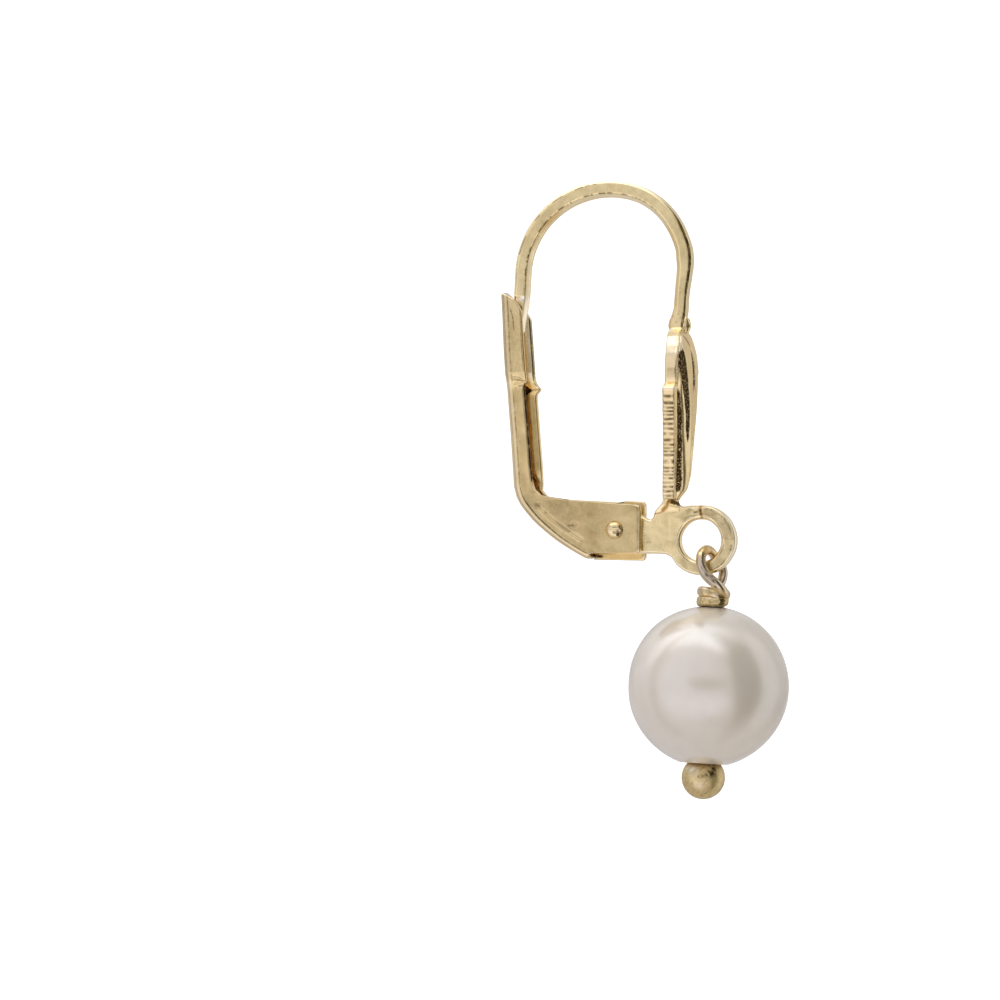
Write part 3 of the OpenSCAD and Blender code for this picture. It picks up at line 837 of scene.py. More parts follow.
def ring_lines(y, z, noise):
    """Dark broken lines round the ring's two edges, a painted dark edge reflection, and the creases,
    drawn as painted shade.
    """
    r = np.hypot(y - RING[0], z - RING[1])
    angle = np.degrees(np.arctan2(z - RING[1], y - RING[0])) % 360
    lines = 0.75 * bump_at(r, RING_IN + 0.15, 0.022) * np.clip(0.45 + 0.9 * noise, 0, 1)
    part = ramp(angle, 80, 95) * (1 - ramp(angle, 235, 265)) * np.clip(0.6 + 0.8 * noise, 0, 1)
    lines += 0.9 * bump_at(r, RING_OUT - 0.15 + 0.02 * noise, 0.022) * part
    for strength, width, points in RING_CREASES:
        lines += strength * near_line(y, z, points, width)
    return lines


def hinge_ring():
    v, faces, flat = plate(ring_loops(), PLATE_HALF, [ROUND_EDGE, HOLE_EDGE])
    y, z = v[:, 1], v[:, 2]
    outward = np.sign(v[:, 0])
    place = points_at(0.0, y, z)
    v[:, 0] += outward * (0.016 * ripple(place, 0.8, 65) + 0.006 * ripple(place, 0.3, 67))
    noise = ripple(place, 0.35, 69)
    # the seam at the ring's top
    seam_y = RING[0] + 0.055 * ripple(points_at(0.0, z, 0.0), 0.16, 71)
    seam = bump_at(y, seam_y, 0.08 + 0.03 * noise) * ramp(z, -16.15, -16.0)
    v[:, 0] -= outward * 0.02 * seam * flat
    # the neck is a little thicker, where it runs into the shell, with a hollow and folds below it
    v[:, 0] *= 1 + 0.3 * ramp(z, -15.75, -15.3) * (y > -3.9) * (y < -2.5)
    hollow = near_line(y, z, [(-3.5, -15.17), (-3.86, -15.3)], 0.11)
    fold = near_line(y, z, [(-3.36, -15.16), (-3.24, -15.42), (-3.05, -15.62)], 0.075)
    low_fold = near_line(y, z, [(-2.95, -15.72), (-2.62, -15.78)], 0.04)
    v[:, 0] -= outward * (0.14 * hollow + 0.07 * fold + 0.03 * low_fold)
    # hammered patches on the ring's top
    hammered = ramp(z, -16.9, -16.0) * (y < -3.4) * flat
    v[:, 0] += outward * 0.02 * hammered * ripple(place, 0.42, 75)
    # painted shade in the hollow under the neck and in the folds; the seam is a dark joint
    mark = ring_lines(y, z, noise) + seam * (0.5 + 0.3 * noise)
    mark = np.maximum(mark, 1.15 * hollow)
    mark = np.maximum(mark, 0.5 * fold + 0.4 * low_fold)
    mark += 0.17 * ramp(-y, 3.7, 4.7) * flat * np.clip(1 + 0.7 * ripple(place, 0.45, 77), 0, 2)
    mark += 0.06 * ramp(-y, 5.4, 6.0)
    sand = 0.25 * np.clip(ripple(place, 0.5, 73), 0, 1) * flat
    # the folds and the seam are tinted orange, a painted warm reflection
    other = np.clip(1.1 * fold + 0.8 * low_fold + 0.9 * seam, 0, 1)
    # painted highlight on the rounded edges, more on the ring's free side
    pale = 0.3 * (~flat) * (mark < 0.3) + 0.3 * (~flat) * (y < -6.2)
    build("hinge_ring", v, faces, hook_gold, "hook", "hook_gold", ["ear_hook"], weighted=True,
          mark=np.clip(mark, 0, 1), sand=sand, other=other, pale=pale)


hinge_ring()


# the lever

PEAK = np.array([5.18, -4.74])
TILT = math.radians(3.5)
DOWN = np.array([-math.sin(TILT), -math.cos(TILT)])
AHEAD = np.array([-math.cos(TILT), math.sin(TILT)])
SHEET = 0.28


def spline(points, count):
    """Catmull-Rom through 2-D points, evenly spread along its length."""
    p = np.array(points, float)
    p = np.concatenate([[2 * p[0] - p[1]], p, [2 * p[-1] - p[-2]]])
    out = []
    for a, b, c, d in zip(p, p[1:], p[2:], p[3:]):
        for t in np.linspace(0, 1, 24, endpoint=False):
            out.append(0.5 * (2 * b + (c - a) * t + (2 * a - 5 * b + 4 * c - d) * t * t
                              + (3 * b - a - 3 * c + d) * t ** 3))
    out = np.array(out + [p[-2]])
    return along(out, np.linspace(0, lengths(out)[-1], count))


def path_points(knots, counts):
    """Straight runs between knots, counts[i] steps on run i."""
    out = []
    for (a, b), c in zip(zip(knots[:-1], knots[1:]), counts):
        a, b = np.array(a, float), np.array(b, float)
        out += [a + (b - a) * k / c for k in range(c)]
    out.append(np.array(knots[-1], float))
    return np.array(out)


HEEL = [(4.594, -14.32), (4.52, -14.62), (4.39, -15.0), (4.10, -15.46), (3.40, -16.24), (2.40, -17.05),
        (1.6, -17.56), (1.0, -17.9), (0.68, -18.03)]
HEEL_POINTS = 112
NEAR_DEPTH = ([0, 4.0, 4.35, 4.7, 5.4, 6.9, 8.6, 9.3, 9.6],
              [1.08, 1.10, 1.08, 0.93, 0.95, 0.98, 1.01, 1.04, 1.08])
FAR_DEPTH = ([0, 4.1, 4.35, 4.6, 5.3, 6.9, 9.0, 9.6], [1.13, 1.16, 1.2, 1.3, 1.27, 1.29, 1.33, 1.34])
NEAR_CHEEK = [(3.42, -14.52), (3.08, -14.83), (1.78, -15.08), (-1.80, -15.33), (-1.98, -15.40),
              (-2.02, -15.5), (-2.0, -17.58), (-1.95, -17.68), (-1.82, -17.73), (0.45, -17.73),
              (0.62, -17.76)]
FAR_CHEEK = [(3.28, -14.55), (3.03, -14.86), (1.70, -15.04), (-1.0, -15.18), (-1.12, -15.1), (-1.95, -15.16),
             (-2.04, -15.3), (-2.04, -17.9), (-1.96, -18.06), (-1.85, -18.1), (0.66, -18.04)]
NEAR_STEPS, FAR_STEPS = (6, 14, 26, 4, 4, 24, 3, 3, 22, 4), (6, 14, 22, 3, 7, 4, 24, 3, 3, 24)
WIDTH_AT = ([0, 4.0, 4.5, 4.8, 9.3, 10.6], [1.70, 1.70, 1.34, 1.24, 1.24, 1.34])
CORNER_AT = ([0, 4.0, 4.6, 9.6, 12.5, 15.0], [0.36, 0.36, 0.34, 0.36, 0.30, 0.24])
N_WALL, N_ARC, N_FLAT, N_RIM = 54, 8, 10, 6
N_OUTER = 2 * N_WALL + 2 * N_ARC + N_FLAT
COLS = 2 * (N_OUTER + N_RIM)
FAR_RIM = N_OUTER + np.arange(N_RIM)
NEAR_RIM = 2 * N_OUTER + N_RIM + np.arange(N_RIM)
# each column of the sheet and the one on the other side of its thickness
PAIR = np.concatenate([np.arange(2 * N_OUTER + N_RIM)[::-1], NEAR_RIM[::-1]])
WALL_SPREAD = np.linspace(0, 1, N_WALL) ** 1.45
STRAIGHT = np.concatenate([np.linspace(0, 0.3, 8, endpoint=False), np.linspace(0.3, 4.0, 56, endpoint=False),
                           np.linspace(4.0, 4.9, 30, endpoint=False), np.linspace(4.9, 9.6, 70)])
SPINE_S = np.concatenate([STRAIGHT, 9.6 + np.linspace(0.05, 5.3, HEEL_POINTS - 1)])
# the cup's open top, cut in a curve: how far down it lies, by the distance ahead of the back
NEAR_TOP = ([-0.1, 0.1, 0.2, 0.3, 0.43, 0.7, 0.85, 0.95, 1.06, 1.15],
            [-0.06, -0.04, 0.0, 0.05, 0.124, 0.313, 0.49, 0.64, 0.93, 1.05])
FAR_TOP = ([-0.1, 0.0, 0.16, 0.3, 0.5, 0.7, 0.85, 0.965, 1.08, 1.2],
           [-0.22, -0.2, 0.0, 0.18, 0.42, 0.65, 0.83, 0.97, 1.2, 1.3])
FAR_AWAY, DEEP_IN, ON_RIM = 9.0, 1.0, -0.02
CREASE = [(3.15, -15.58), (2.62, -16.06), (2.05, -16.49), (1.52, -16.83), (1.1, -17.1)]
INSIDE_CREASE = [(y - 0.1, z + 0.06) for y, z in CREASE]


def lever_lips():
    """The front edges of the near and the far wall, down the cup and channel and round the cheeks."""
    far = np.interp(STRAIGHT, *FAR_DEPTH) + 0.2 * bump_at(STRAIGHT, 4.86, 0.17)
    lips = []
    for depth, knots, steps in ((np.interp(STRAIGHT, *NEAR_DEPTH), NEAR_CHEEK, NEAR_STEPS),
                                (far, FAR_CHEEK, FAR_STEPS)):
        line = PEAK + np.outer(STRAIGHT, DOWN) + np.outer(depth, AHEAD)
        cheek = path_points(knots, steps)
        pick = np.linspace(0, len(cheek) - 1, HEEL_POINTS - 1)
        cheek = np.stack([np.interp(pick, np.arange(len(cheek)), cheek[:, i]) for i in (0, 1)], 1)
        lips.append(np.concatenate([line, cheek]))
    return lips


def sheet_strip(x, p, corner_gap=FAR_AWAY, lip_gap=FAR_AWAY):
    """A run of points, each with its distances to the back's corner and to the lip."""
    return np.stack(np.broadcast_arrays(x, p[:, 0], p[:, 1], corner_gap, lip_gap), 1)


def lever_side(sgn, base, n, lip, half, r, r_in):
    """One side of a section: its outside, from the lip to the back, and its rim and inside."""
    walls = []
    for start in (base + n * r, base + n * (SHEET + r_in)):
        run = lip - start
        length = max(np.linalg.norm(run), 1e-3)
        stop = max(1 - SHEET / 2 / length, 0.05)
        walls.append((start + np.outer(WALL_SPREAD * stop, run), length * stop * WALL_SPREAD, run / length))
    (outer, outer_gap, way), (inner, inner_gap, _) = walls
    turn = np.radians(np.linspace(0, 180, N_RIM + 2)[1:-1])
    rim = sheet_strip(sgn * (half - SHEET / 2 + np.cos(turn) * SHEET / 2),
                      lip - way * SHEET / 2 + np.outer(np.sin(turn) * SHEET / 2, way), lip_gap=ON_RIM)
    a = np.radians(np.linspace(90, 0, N_ARC + 2)[1:-1])
    corner = sheet_strip(sgn * (half - r + r * np.sin(a)), base + np.outer(r - r * np.cos(a), n))
    fold = sheet_strip(sgn * (half - SHEET - r_in + r_in * np.sin(a)),
                       base + np.outer(SHEET + r_in - r_in * np.cos(a), n), lip_gap=DEEP_IN)
    outside = np.concatenate([sheet_strip(sgn * half, outer, outer_gap)[::-1], corner])
    wall = sheet_strip(sgn * (half - SHEET), inner, lip_gap=inner_gap[-1] - inner_gap)
    return outside, np.concatenate([rim, wall[::-1], fold])


def lever_section(base, n, near_lip, far_lip, width, r):
    """One closed row round the folded sheet."""
    half, r_in = width / 2, max(r - SHEET * 0.8, 0.06)
    near_out, near_in = lever_side(-1, base, n, near_lip, half, r, r_in)
    far_out, far_in = lever_side(1, base, n, far_lip, half, r, r_in)
    back, front = half - r, half - SHEET - r_in
    flat = sheet_strip(np.linspace(-back, back, N_FLAT), base[None])
    flat_in = sheet_strip(np.linspace(front, -front, N_FLAT), (base + n * SHEET)[None], lip_gap=DEEP_IN)
    return np.concatenate([near_out, flat, far_out[::-1], far_in, flat_in, near_in[::-1]])


def shape_cup(rows, far_lip):
    """The cup's walls flare towards the front, and its open top is cut in a curve."""
    for ring, lip, s in zip(rows, far_lip, STRAIGHT):
        d = (ring[:, 1:] - PEAK) @ AHEAD
        bell = 0.13 * (np.clip(d, 0, 1.5) / ((lip - PEAK) @ AHEAD)) ** 4 * (1 - ramp(s, 8.8, 9.6))
        near_bell = 0.045 * (np.clip(d, 0, 1.2) / 1.1) ** 2 * (1 - ramp(s, 3.3, 4.4))
        ring[:, 0] += np.where(ring[:, 0] > 0, bell, -near_bell)
        far_side = ramp(ring[:, 0], -0.5, 0.3)
        top = np.interp(d, *NEAR_TOP) * (1 - far_side) + np.interp(d, *FAR_TOP) * far_side
        ring[:, 1:] += np.outer(top * max(1 - s / 4.1, 0) ** 1.5, DOWN)


def thin_ends(rows):
    for k, keep in ((0, 0.45), (1, 0.8), (2, 0.95), (-1, 0.5), (-2, 0.85)):
        centre = (rows[k] + rows[k][PAIR]) / 2
        rows[k] = centre + (rows[k] - centre) * keep


class Sheet:
    """The lever's points, and the fields over them that its relief and its marks share."""

    def __init__(self, points, from_corner, from_lip):
        self.x, self.y, self.z = (points[..., i].copy() for i in range(3))
        self.s = np.repeat(SPINE_S[:, None], COLS, 1)
        self.from_corner, self.from_lip = from_corner, from_lip
        self.outer = np.arange(COLS)[None, :] < N_OUTER
        self.on_face = self.outer & (np.abs(self.x) > 0.55)
        self.inner = from_lip < FAR_AWAY - 1
        self.ahead = PEAK[0] + self.s * DOWN[0] - self.y
        self.place = np.stack([np.sign(self.x), self.y, self.z], -1)
        self.noise, self.ragged = ripple(self.place, 0.3, 85), ripple(self.place, 0.11, 86)
        self.inside_crease = self.line(INSIDE_CREASE, 0.07)
        self.dimple = self.spot(1.42, -16.33, 0.85, 1.25, 0.17)
        broken = np.clip(0.75 + 0.8 * ripple(self.place, 0.07, 82), 0, 1)
        self.star = np.clip(self.spot(3.22, -15.31, 0.9, 1, 0.13) * broken, 0, 1)

    def line(self, points, width):
        return near_line(self.y, self.z, points, width)

    def spot(self, y, z, y_scale, z_scale, width):
        return bump_at(np.hypot((self.y - y) * y_scale, (self.z - z) * z_scale), 0, width)


def lever_relief(g):
    """How far the walls bulge outward: a crease, a dimple and a star on the cheek, folds under the cup."""
    folds = (g.line([(4.52, -8.98), (4.2, -9.0), (3.95, -9.1)], 0.06)
             + g.line([(4.45, -9.25), (4.15, -9.17), (3.85, -9.3)], 0.05))
    pinch = bump_at(g.s, 4.5, 0.16) * ramp(g.ahead, 0.35, 0.7)
    crumple = ripple(g.place, 0.15, 87) * bump_at(g.s, 4.6, 0.22) * (g.x < 0) * ramp(g.ahead, 0.3, 0.55)
    push = (0.02 * g.line(CREASE, 0.05) - 0.02 * g.inside_crease - 0.04 * g.dimple - 0.03 * g.star
            - 0.05 * pinch + 0.06 * np.clip(folds, 0, 1) + 0.035 * crumple)
    soft = 0.03 * ripple(g.place, 1.5, 81) + 0.008 * ripple(g.place, 0.7, 83)
    soft = soft + 0.003 * ripple(g.place, 0.3, 84)
    return g.on_face * push + g.outer * soft


def corner_line(g):
    """A fine broken dark line where the walls turn into the back, a painted dark edge reflection."""
    weight = np.interp(g.s, [0, 0.4, 3.4, 5.0, 6.0, 9.8, 10.2, 10.9, 14.4, 15.0],
                       [0.2, 0.5, 0.4, 0.3, 0.5, 0.5, 0.35, 1.0, 1.0, 0.6])
    worn = g.noise + 0.5 * g.ragged
    broken = np.where(g.s < 10, ramp(worn, -0.9, 0.3), ramp(worn, -0.8, -0.3))
    return bump_at(g.from_corner, 0.03, 0.03) * weight * broken


def face_marks(g):
    """Scratches and a star on the near face, painted shade in the dimple and inside the crease, and
    soft brown patches of painted shade and dark reflection on the cheeks, the cup and the channel.
    """
    small = (0.5 * g.line([(4.62, -5.55), (4.50, -5.95), (4.44, -6.55)], 0.03)
             + 0.4 * g.line([(4.3, -9.06), (4.08, -9.08), (3.9, -9.16)], 0.03)
             + 0.5 * g.line([(4.2, -9.36), (4.05, -9.33), (3.9, -9.38)], 0.04)
             + 0.5 * g.star + 0.3 * g.dimple * (g.noise > 0.1) + 0.25 * g.inside_crease * (g.noise > 0.0))
    cheek = ramp(g.s, 9.8, 10.8) * (0.1 + 0.09 * np.clip(ripple(g.place, 0.9, 88), -1, 1))
    cheek = cheek + 0.07 * ramp(g.s, 10.4, 11.4) * g.spot(1.6, -16.2, 1, 1.4, 1.1)
    cheek = cheek + 0.05 * ramp(g.s, 9.6, 10.6) * (1 - ramp(g.s, 13.0, 14.0))
    shaded = ramp(g.s, 4.6, 5.2) * (1 - ramp(g.s, 9.2, 10.2)) * (1 - ramp(g.ahead, 0.45, 0.8))
    # the dull patches are painted shade and dark reflection
    dull = cheek + 0.1 * shaded + 0.22 * (1 - ramp(g.s, 4.1, 4.5))
    return g.on_face * (small * (g.x < 0) + dull)


def painted_channel_shade(g):
    """Painted shade deep in the channel, with a ragged edge, in the slot and on the near rim."""
    channel = ramp(g.s, 4.5, 4.62) * (1 - ramp(g.s, 9.9, 10.4))
    reach = np.where(g.x > 0, 0.54 - 0.25 * bump_at(g.s, 4.9, 0.3), 0.42) + 0.035 * g.ragged + 0.02 * g.noise
    dark_in_recess = ramp(g.from_lip, reach - 0.012, reach + 0.012) * g.inner * (1 - ramp(g.s, 9.0, 9.3))
    rim = np.zeros(COLS)
    rim[NEAR_RIM] = (1, 1, 1, 1, 1, 0.4)
    rim = rim * channel * (1 - ramp(g.s, 9.3, 9.6)) * np.clip(1.0 + 0.4 * g.ragged, 0, 1)
    slot = g.line([(0.85, -17.86), (0.25, -17.87)], 0.08) * g.inner
    return dark_in_recess, channel, 1.1 * dark_in_recess * channel + 1.15 * rim + 1.1 * slot


def painted_warm_reflection(g, dark_in_recess, channel, line):
    """Painted warm reflection where the inner walls glow warm: the far wall of the channel, the slot at
    the lower end and, faintly, the corner line.
    """
    wall = 0.65 * g.inner * (1 - dark_in_recess) * channel * ramp(g.from_lip, 0.08, 0.14)
    wall = wall * (1 - 0.5 * ramp(g.s, 9.2, 9.6)) * (g.x > 0)
    slot = g.inner * ramp(g.s, 12.6, 13.2) * ramp(g.from_lip, 0.03, 0.1)
    return np.clip(wall + 0.45 * slot + 0.35 * line * (g.s < 10), 0, 1)


def painted_highlights(g, dark_in_recess, channel):
    """Painted highlight on the bright rims, the cup's top edge, the back's rounded corners and the
    flared inside of the cup's far wall.
    """
    rim = (g.from_lip < 0) * (1 - dark_in_recess * channel) * ramp(g.s, 4.3, 4.7)
    cup_inside = g.inner * (1 - ramp(g.s, 4.1, 4.5)) * (g.x > 0)
    top_edge = 1 - ramp(g.s, 0.05, 0.1)
    back_corner = (g.from_corner > FAR_AWAY - 1) & g.outer & (np.abs(g.x) > 0.3)
    return np.clip(0.3 * rim + 0.5 * cup_inside + 0.6 * top_edge + 0.3 * back_corner, 0, 1)


def lever_ends(rows):
    """Faces that close the sheet's upper and lower edge."""
    faces = []
    for first, way in ((0, 1), ((rows - 1) * COLS, -1)):
        for i in range(N_OUTER - 1):
            faces.append((first + i, first + i + 1, first + int(PAIR[i + 1]), first + int(PAIR[i]))[::way])
        for rim in (FAR_RIM, NEAR_RIM):
            face = tuple(int(first + v) for v in rim)
            faces.append(face + (int(first + (rim[-1] + 1) % COLS), int(first + rim[0] - 1)))
    return faces


def lever_sheet():
    spine = np.concatenate([PEAK + np.outer(STRAIGHT, DOWN), spline(HEEL, HEEL_POINTS)[1:]])
    spine[:, 0] += 0.05 * bump_at(SPINE_S, 3.4, 2.4)
    tangent = unit(np.gradient(spine, axis=0))
    norm = np.stack([tangent[:, 1], -tangent[:, 0]], 1)
    lips = lever_lips()
    grid = np.array([lever_section(*row) for row in zip(spine, norm, *lips, np.interp(SPINE_S, *WIDTH_AT),
                                                        np.interp(SPINE_S, *CORNER_AT))])
    rows = grid[..., :3].copy()
    shape_cup(rows, lips[1])
    thin_ends(rows)
    g = Sheet(rows, grid[..., 3], grid[..., 4])
    rows[..., 0] += np.sign(g.x) * lever_relief(g)
    line = corner_line(g)
    dark_in_recess, channel, dark = painted_channel_shade(g)
    # painted shade on the cup's rims, strongest on the far wall
    cup_rim_shade = (g.from_lip < 0) * (1 - ramp(g.s, 4.1, 4.4)) * ramp(g.s, 0.1, 0.3)
    mark = line + face_marks(g) + dark + cup_rim_shade * np.where(g.x > 0, 0.55, 0.12)
    pale = painted_highlights(g, dark_in_recess, channel) * (1 - np.clip(mark, 0, 1))
    other = painted_warm_reflection(g, dark_in_recess, channel, line) * (1 - pale)
    faces = grid_faces(len(rows), COLS) + lever_ends(len(rows))
    build("lever_sheet", rows.reshape(-1, 3), faces, lever_gold, "lever", "lever_gold", ["lever"],
          mark=np.clip(mark, 0, 1.3).ravel(), other=other.ravel(), pale=pale.ravel())


lever_sheet()


# radius and height of each ring of a rivet head, and of half the shank below it
RIVET_PROFILE = [(0.0, 0.31), (0.08, 0.307), (0.16, 0.296), (0.24, 0.273), (0.31, 0.238), (0.365, 0.19),
                 (0.405, 0.13), (0.43, 0.07), (0.44, 0.02), (0.45, 0.0), (0.45, -0.05), (0.28, -0.06),
                 (0.28, -0.65)]
RIVET_POINTS, CHEEK_X = 72, 0.67
RIVET_DENT = [RIVET + d for d in ((-0.04, -0.08), (-0.27, -0.03), (-0.24, -0.22))]


def rivet_ring(sgn, r, h):
    """One ring of the rivet and its marks: a dented crown, darker in the dent and round the head's foot."""
    a = circle(RIVET_POINTS)
    y, z = RIVET[0] + r * np.cos(a), RIVET[1] + r * np.sin(a)
    place = points_at(y, z, sgn)
    dent = near_line(y, z, RIVET_DENT, 0.09) * (h > 0.1)
    x = sgn * (CHEEK_X + h + 0.03 * ripple(place, 0.2, 91) * (h > 0.1) - 0.06 * dent)
    ring = points_at(x, y, z)
    ring[:, 1:] += (RIVET - ring[:, 1:]) * (0.03 * ripple(place, 0.3, 93))[:, None] * (h > 0.05)
    dark_in_recess = dent * np.clip(0.5 + 1.2 * ripple(place, 0.09, 97), 0, 1)
    foot = bump_at(h, 0.02, 0.035) * (r > 0.4)
    return ring, np.clip(0.9 * dark_in_recess + 0.75 * foot + 0.3 * ripple(place, 0.12, 95), 0, 1)


def rivet_pin():
    rings = [rivet_ring(sgn, r, h) for sgn in (-1.0, 1.0) for r, h in RIVET_PROFILE]
    rows, count = len(RIVET_PROFILE), RIVET_POINTS
    faces = grid_faces(rows, count) + grid_faces(rows, count, first=rows * count)
    faces += bridge((rows - 1) * count, (2 * rows - 1) * count, count)
    verts, marks = (np.concatenate([ring[i] for ring in rings]) for i in (0, 1))
    build("rivet_pin", verts, faces, rivet_gold, "lever", "lever_gold", ["rivet"], mark=marks)


rivet_pin()


# the drop

PEARL = np.array([0.0, -5.3, -24.34])
PIN_LEAN = math.radians(3.3)
AXIS = np.array([0.0, -math.sin(PIN_LEAN), math.cos(PIN_LEAN)])
ACROSS = np.array([1.0, 0.0, 0.0])
FORE = np.array([0.0, -math.cos(PIN_LEAN), -math.sin(PIN_LEAN)])
PEARL_R, BALL_R, BALL_DROP = 4.0, 1.08, 4.52
PIN_R = 0.245
EYE_TURN, EYE_LEAN, EYE_R = math.radians(21), math.radians(10.1), 0.71
EYE_FOOT = PEARL + AXIS * 4.757
EYE_UP = np.array([0.0, math.sin(EYE_LEAN), math.cos(EYE_LEAN)])
EYE_OUT = np.array([math.cos(EYE_TURN), -math.sin(EYE_TURN) * math.cos(EYE_LEAN),
                    math.sin(EYE_TURN) * math.sin(EYE_LEAN)])


# the strand that crosses the wraps, and the wraps as turn in degrees, height and radius
OVER = [(0.16, -5.62, -19.52), (0.44, -5.74, -19.34), (0.62, -5.86, -19.05), (0.70, -5.90, -18.7),
        (0.69, -5.84, -18.42)]
STRAND = [(-0.70, -5.10, -18.35), (-0.71, -5.21, -18.60), (-0.74, -5.45, -18.93), (-0.80, -5.83, -19.24),
          (-0.58, -6.10, -19.55), (-0.16, -6.19, -19.78)]
TURNS = [(120, 4.58, 0.58), (160, 4.62, 0.56), (205, 4.66, 0.56), (270, 4.68, 0.58), (315, 4.66, 0.56),
         (360, 4.63, 0.53), (405, 4.50, 0.53), (450, 4.32, 0.55), (500, 4.24, 0.56), (560, 4.205, 0.58),
         (630, 4.19, 0.59), (675, 4.19, 0.59), (720, 4.19, 0.58), (765, 4.19, 0.59), (785, 4.20, 0.6)]
EYE_RISE = 1.33
PIN_STEP, PIN_POINTS = 0.05, 28
PIN_TIP = ((0.93, 0.03), (0.7, 0.045), (0.02, 0.05))


def curve_through(points, step):
    """Smooth 3-D curve through points, in steps of about step mm, and the length at each."""
    p = np.array(points, float)
    p = np.concatenate([[2 * p[0] - p[1]], p, [2 * p[-1] - p[-2]]])
    out = []
    for a, b, c, d in zip(p, p[1:], p[2:], p[3:]):
        gaps = [max(np.linalg.norm(v), 1e-6) ** 0.5 for v in (b - a, c - b, d - c)]
        t0, t1, t2, t3 = np.cumsum([0] + gaps)
        for t in np.linspace(t1, t2, 20, endpoint=False):
            a1 = (t1 - t) / (t1 - t0) * a + (t - t0) / (t1 - t0) * b
            a2 = (t2 - t) / (t2 - t1) * b + (t - t1) / (t2 - t1) * c
            a3 = (t3 - t) / (t3 - t2) * c + (t - t2) / (t3 - t2) * d
            b1 = (t2 - t) / (t2 - t0) * a1 + (t - t0) / (t2 - t0) * a2
            b2 = (t3 - t) / (t3 - t1) * a2 + (t - t1) / (t3 - t1) * a3
            out.append((t2 - t) / (t2 - t1) * b1 + (t - t1) / (t2 - t1) * b2)
    out = np.array(out + [p[-2]])
    total = lengths(out)[-1]
    t = np.linspace(0, total, int(total / step))
    return along(out, t), t


def pin_path():
    """Up through the pearl, up the far side, over the ring, down across the first wrap and round."""
    path = [PEARL + AXIS * h for h in (-3.4, -1.0, 2.0, 4.0, 4.5)] + OVER
    for a in np.radians((20, 50, 80, 110, 140, 165)):
        path.append(EYE_FOOT + EYE_UP * (EYE_RISE + EYE_R * math.sin(a)) + EYE_OUT * EYE_R * math.cos(a))
    path += STRAND
    for deg, h, r in TURNS:
        a = math.radians(deg)
        path.append(PEARL + AXIS * h + r * (-ACROSS * math.cos(a) + FORE * math.sin(a)))
    return path


def pin_rings(line, t, tangent):
    """Sections of the wire, pressed flat where it crosses the wraps and square in the lower wraps."""
    a = circle(PIN_POINTS)
    c, s = np.cos(a), np.sin(a)
    up = ACROSS
    rings = []
    for p, at, way in zip(line, t, tangent):
        up = unit(up - way * (up @ way))
        wrapped, low_wrap = ramp(t[-1] - at, 8.2, 6.4), ramp(t[-1] - at, 4.4, 3.6)
        strand = bump_at(np.linalg.norm(p - np.array(STRAND[2])), 0, 0.75)
        flat = 0.92 + 0.03 * math.sin(at * 1.1) + 0.12 * strand + 0.16 * wrapped + 0.04 * low_wrap
        side_way = p - PEARL
        side_way = side_way - AXIS * (side_way @ AXIS)
        out = side_way / max(np.linalg.norm(side_way), 1e-6) * wrapped + up * (1 - wrapped)
        out = unit(out - way * (out @ way))
        square = 2.6 + 2.0 * low_wrap
        squash = (np.abs(c) ** square + np.abs(s) ** square) ** (-1 / square)
        r = PIN_R * (0.35 + 0.65 * squash / squash.max() * 1.08)
        rings.append(p + np.outer(r * c, out) + np.outer(r * s * flat, np.cross(way, out)))
    return np.array(rings)


def pin_dull(z, outward, noise, middle):
    """Where the outside of the strand and of the first wrap is dulled grey."""
    dull = ramp(z, -20.02, -19.85) * ramp(-outward[..., 0] - 0.4 * outward[..., 1], -0.1, 0.12)
    dull = dull * (1 - 0.6 * ramp(-z, 19.3, 19.5) * ramp(-outward[..., 2], 0.02, 0.14))
    dull = dull * (1 - 0.8 * ramp(z, -18.1, -17.7)) * ramp(noise, -1.0, -0.4)
    return dull * (1 - 0.85 * middle)


def pin_dark(y, z, outward, near_side, noise, ragged):
    """Stains, a groove down the strand, and a scar and a small hole in the lower wraps; the hole is
    only a dark spot of painted shade.
    """
    groove = bump_at(outward[..., 1] + 0.35 * outward[..., 2], -0.02, 0.05) * (outward[..., 0] < 0)
    groove = groove * band(z, -19.5, -18.3, 0.1) * ramp(noise, -0.5, 0.2)
    scar = near_line(y, z, [(-5.53, -19.95), (-5.56, -20.36)], 0.035)
    hole = bump_at(np.hypot((y + 6.15) * 0.8, z + 20.08), 0, 0.1)
    broken = np.clip(0.8 + 0.5 * ragged, 0, 1)
    mark = np.maximum(np.clip(0.55 * noise - 0.15, 0, 1), 0.8 * groove)
    return np.maximum(mark, near_side * np.maximum((0.8 * scar + 1.2 * hole) * broken, 0.2))


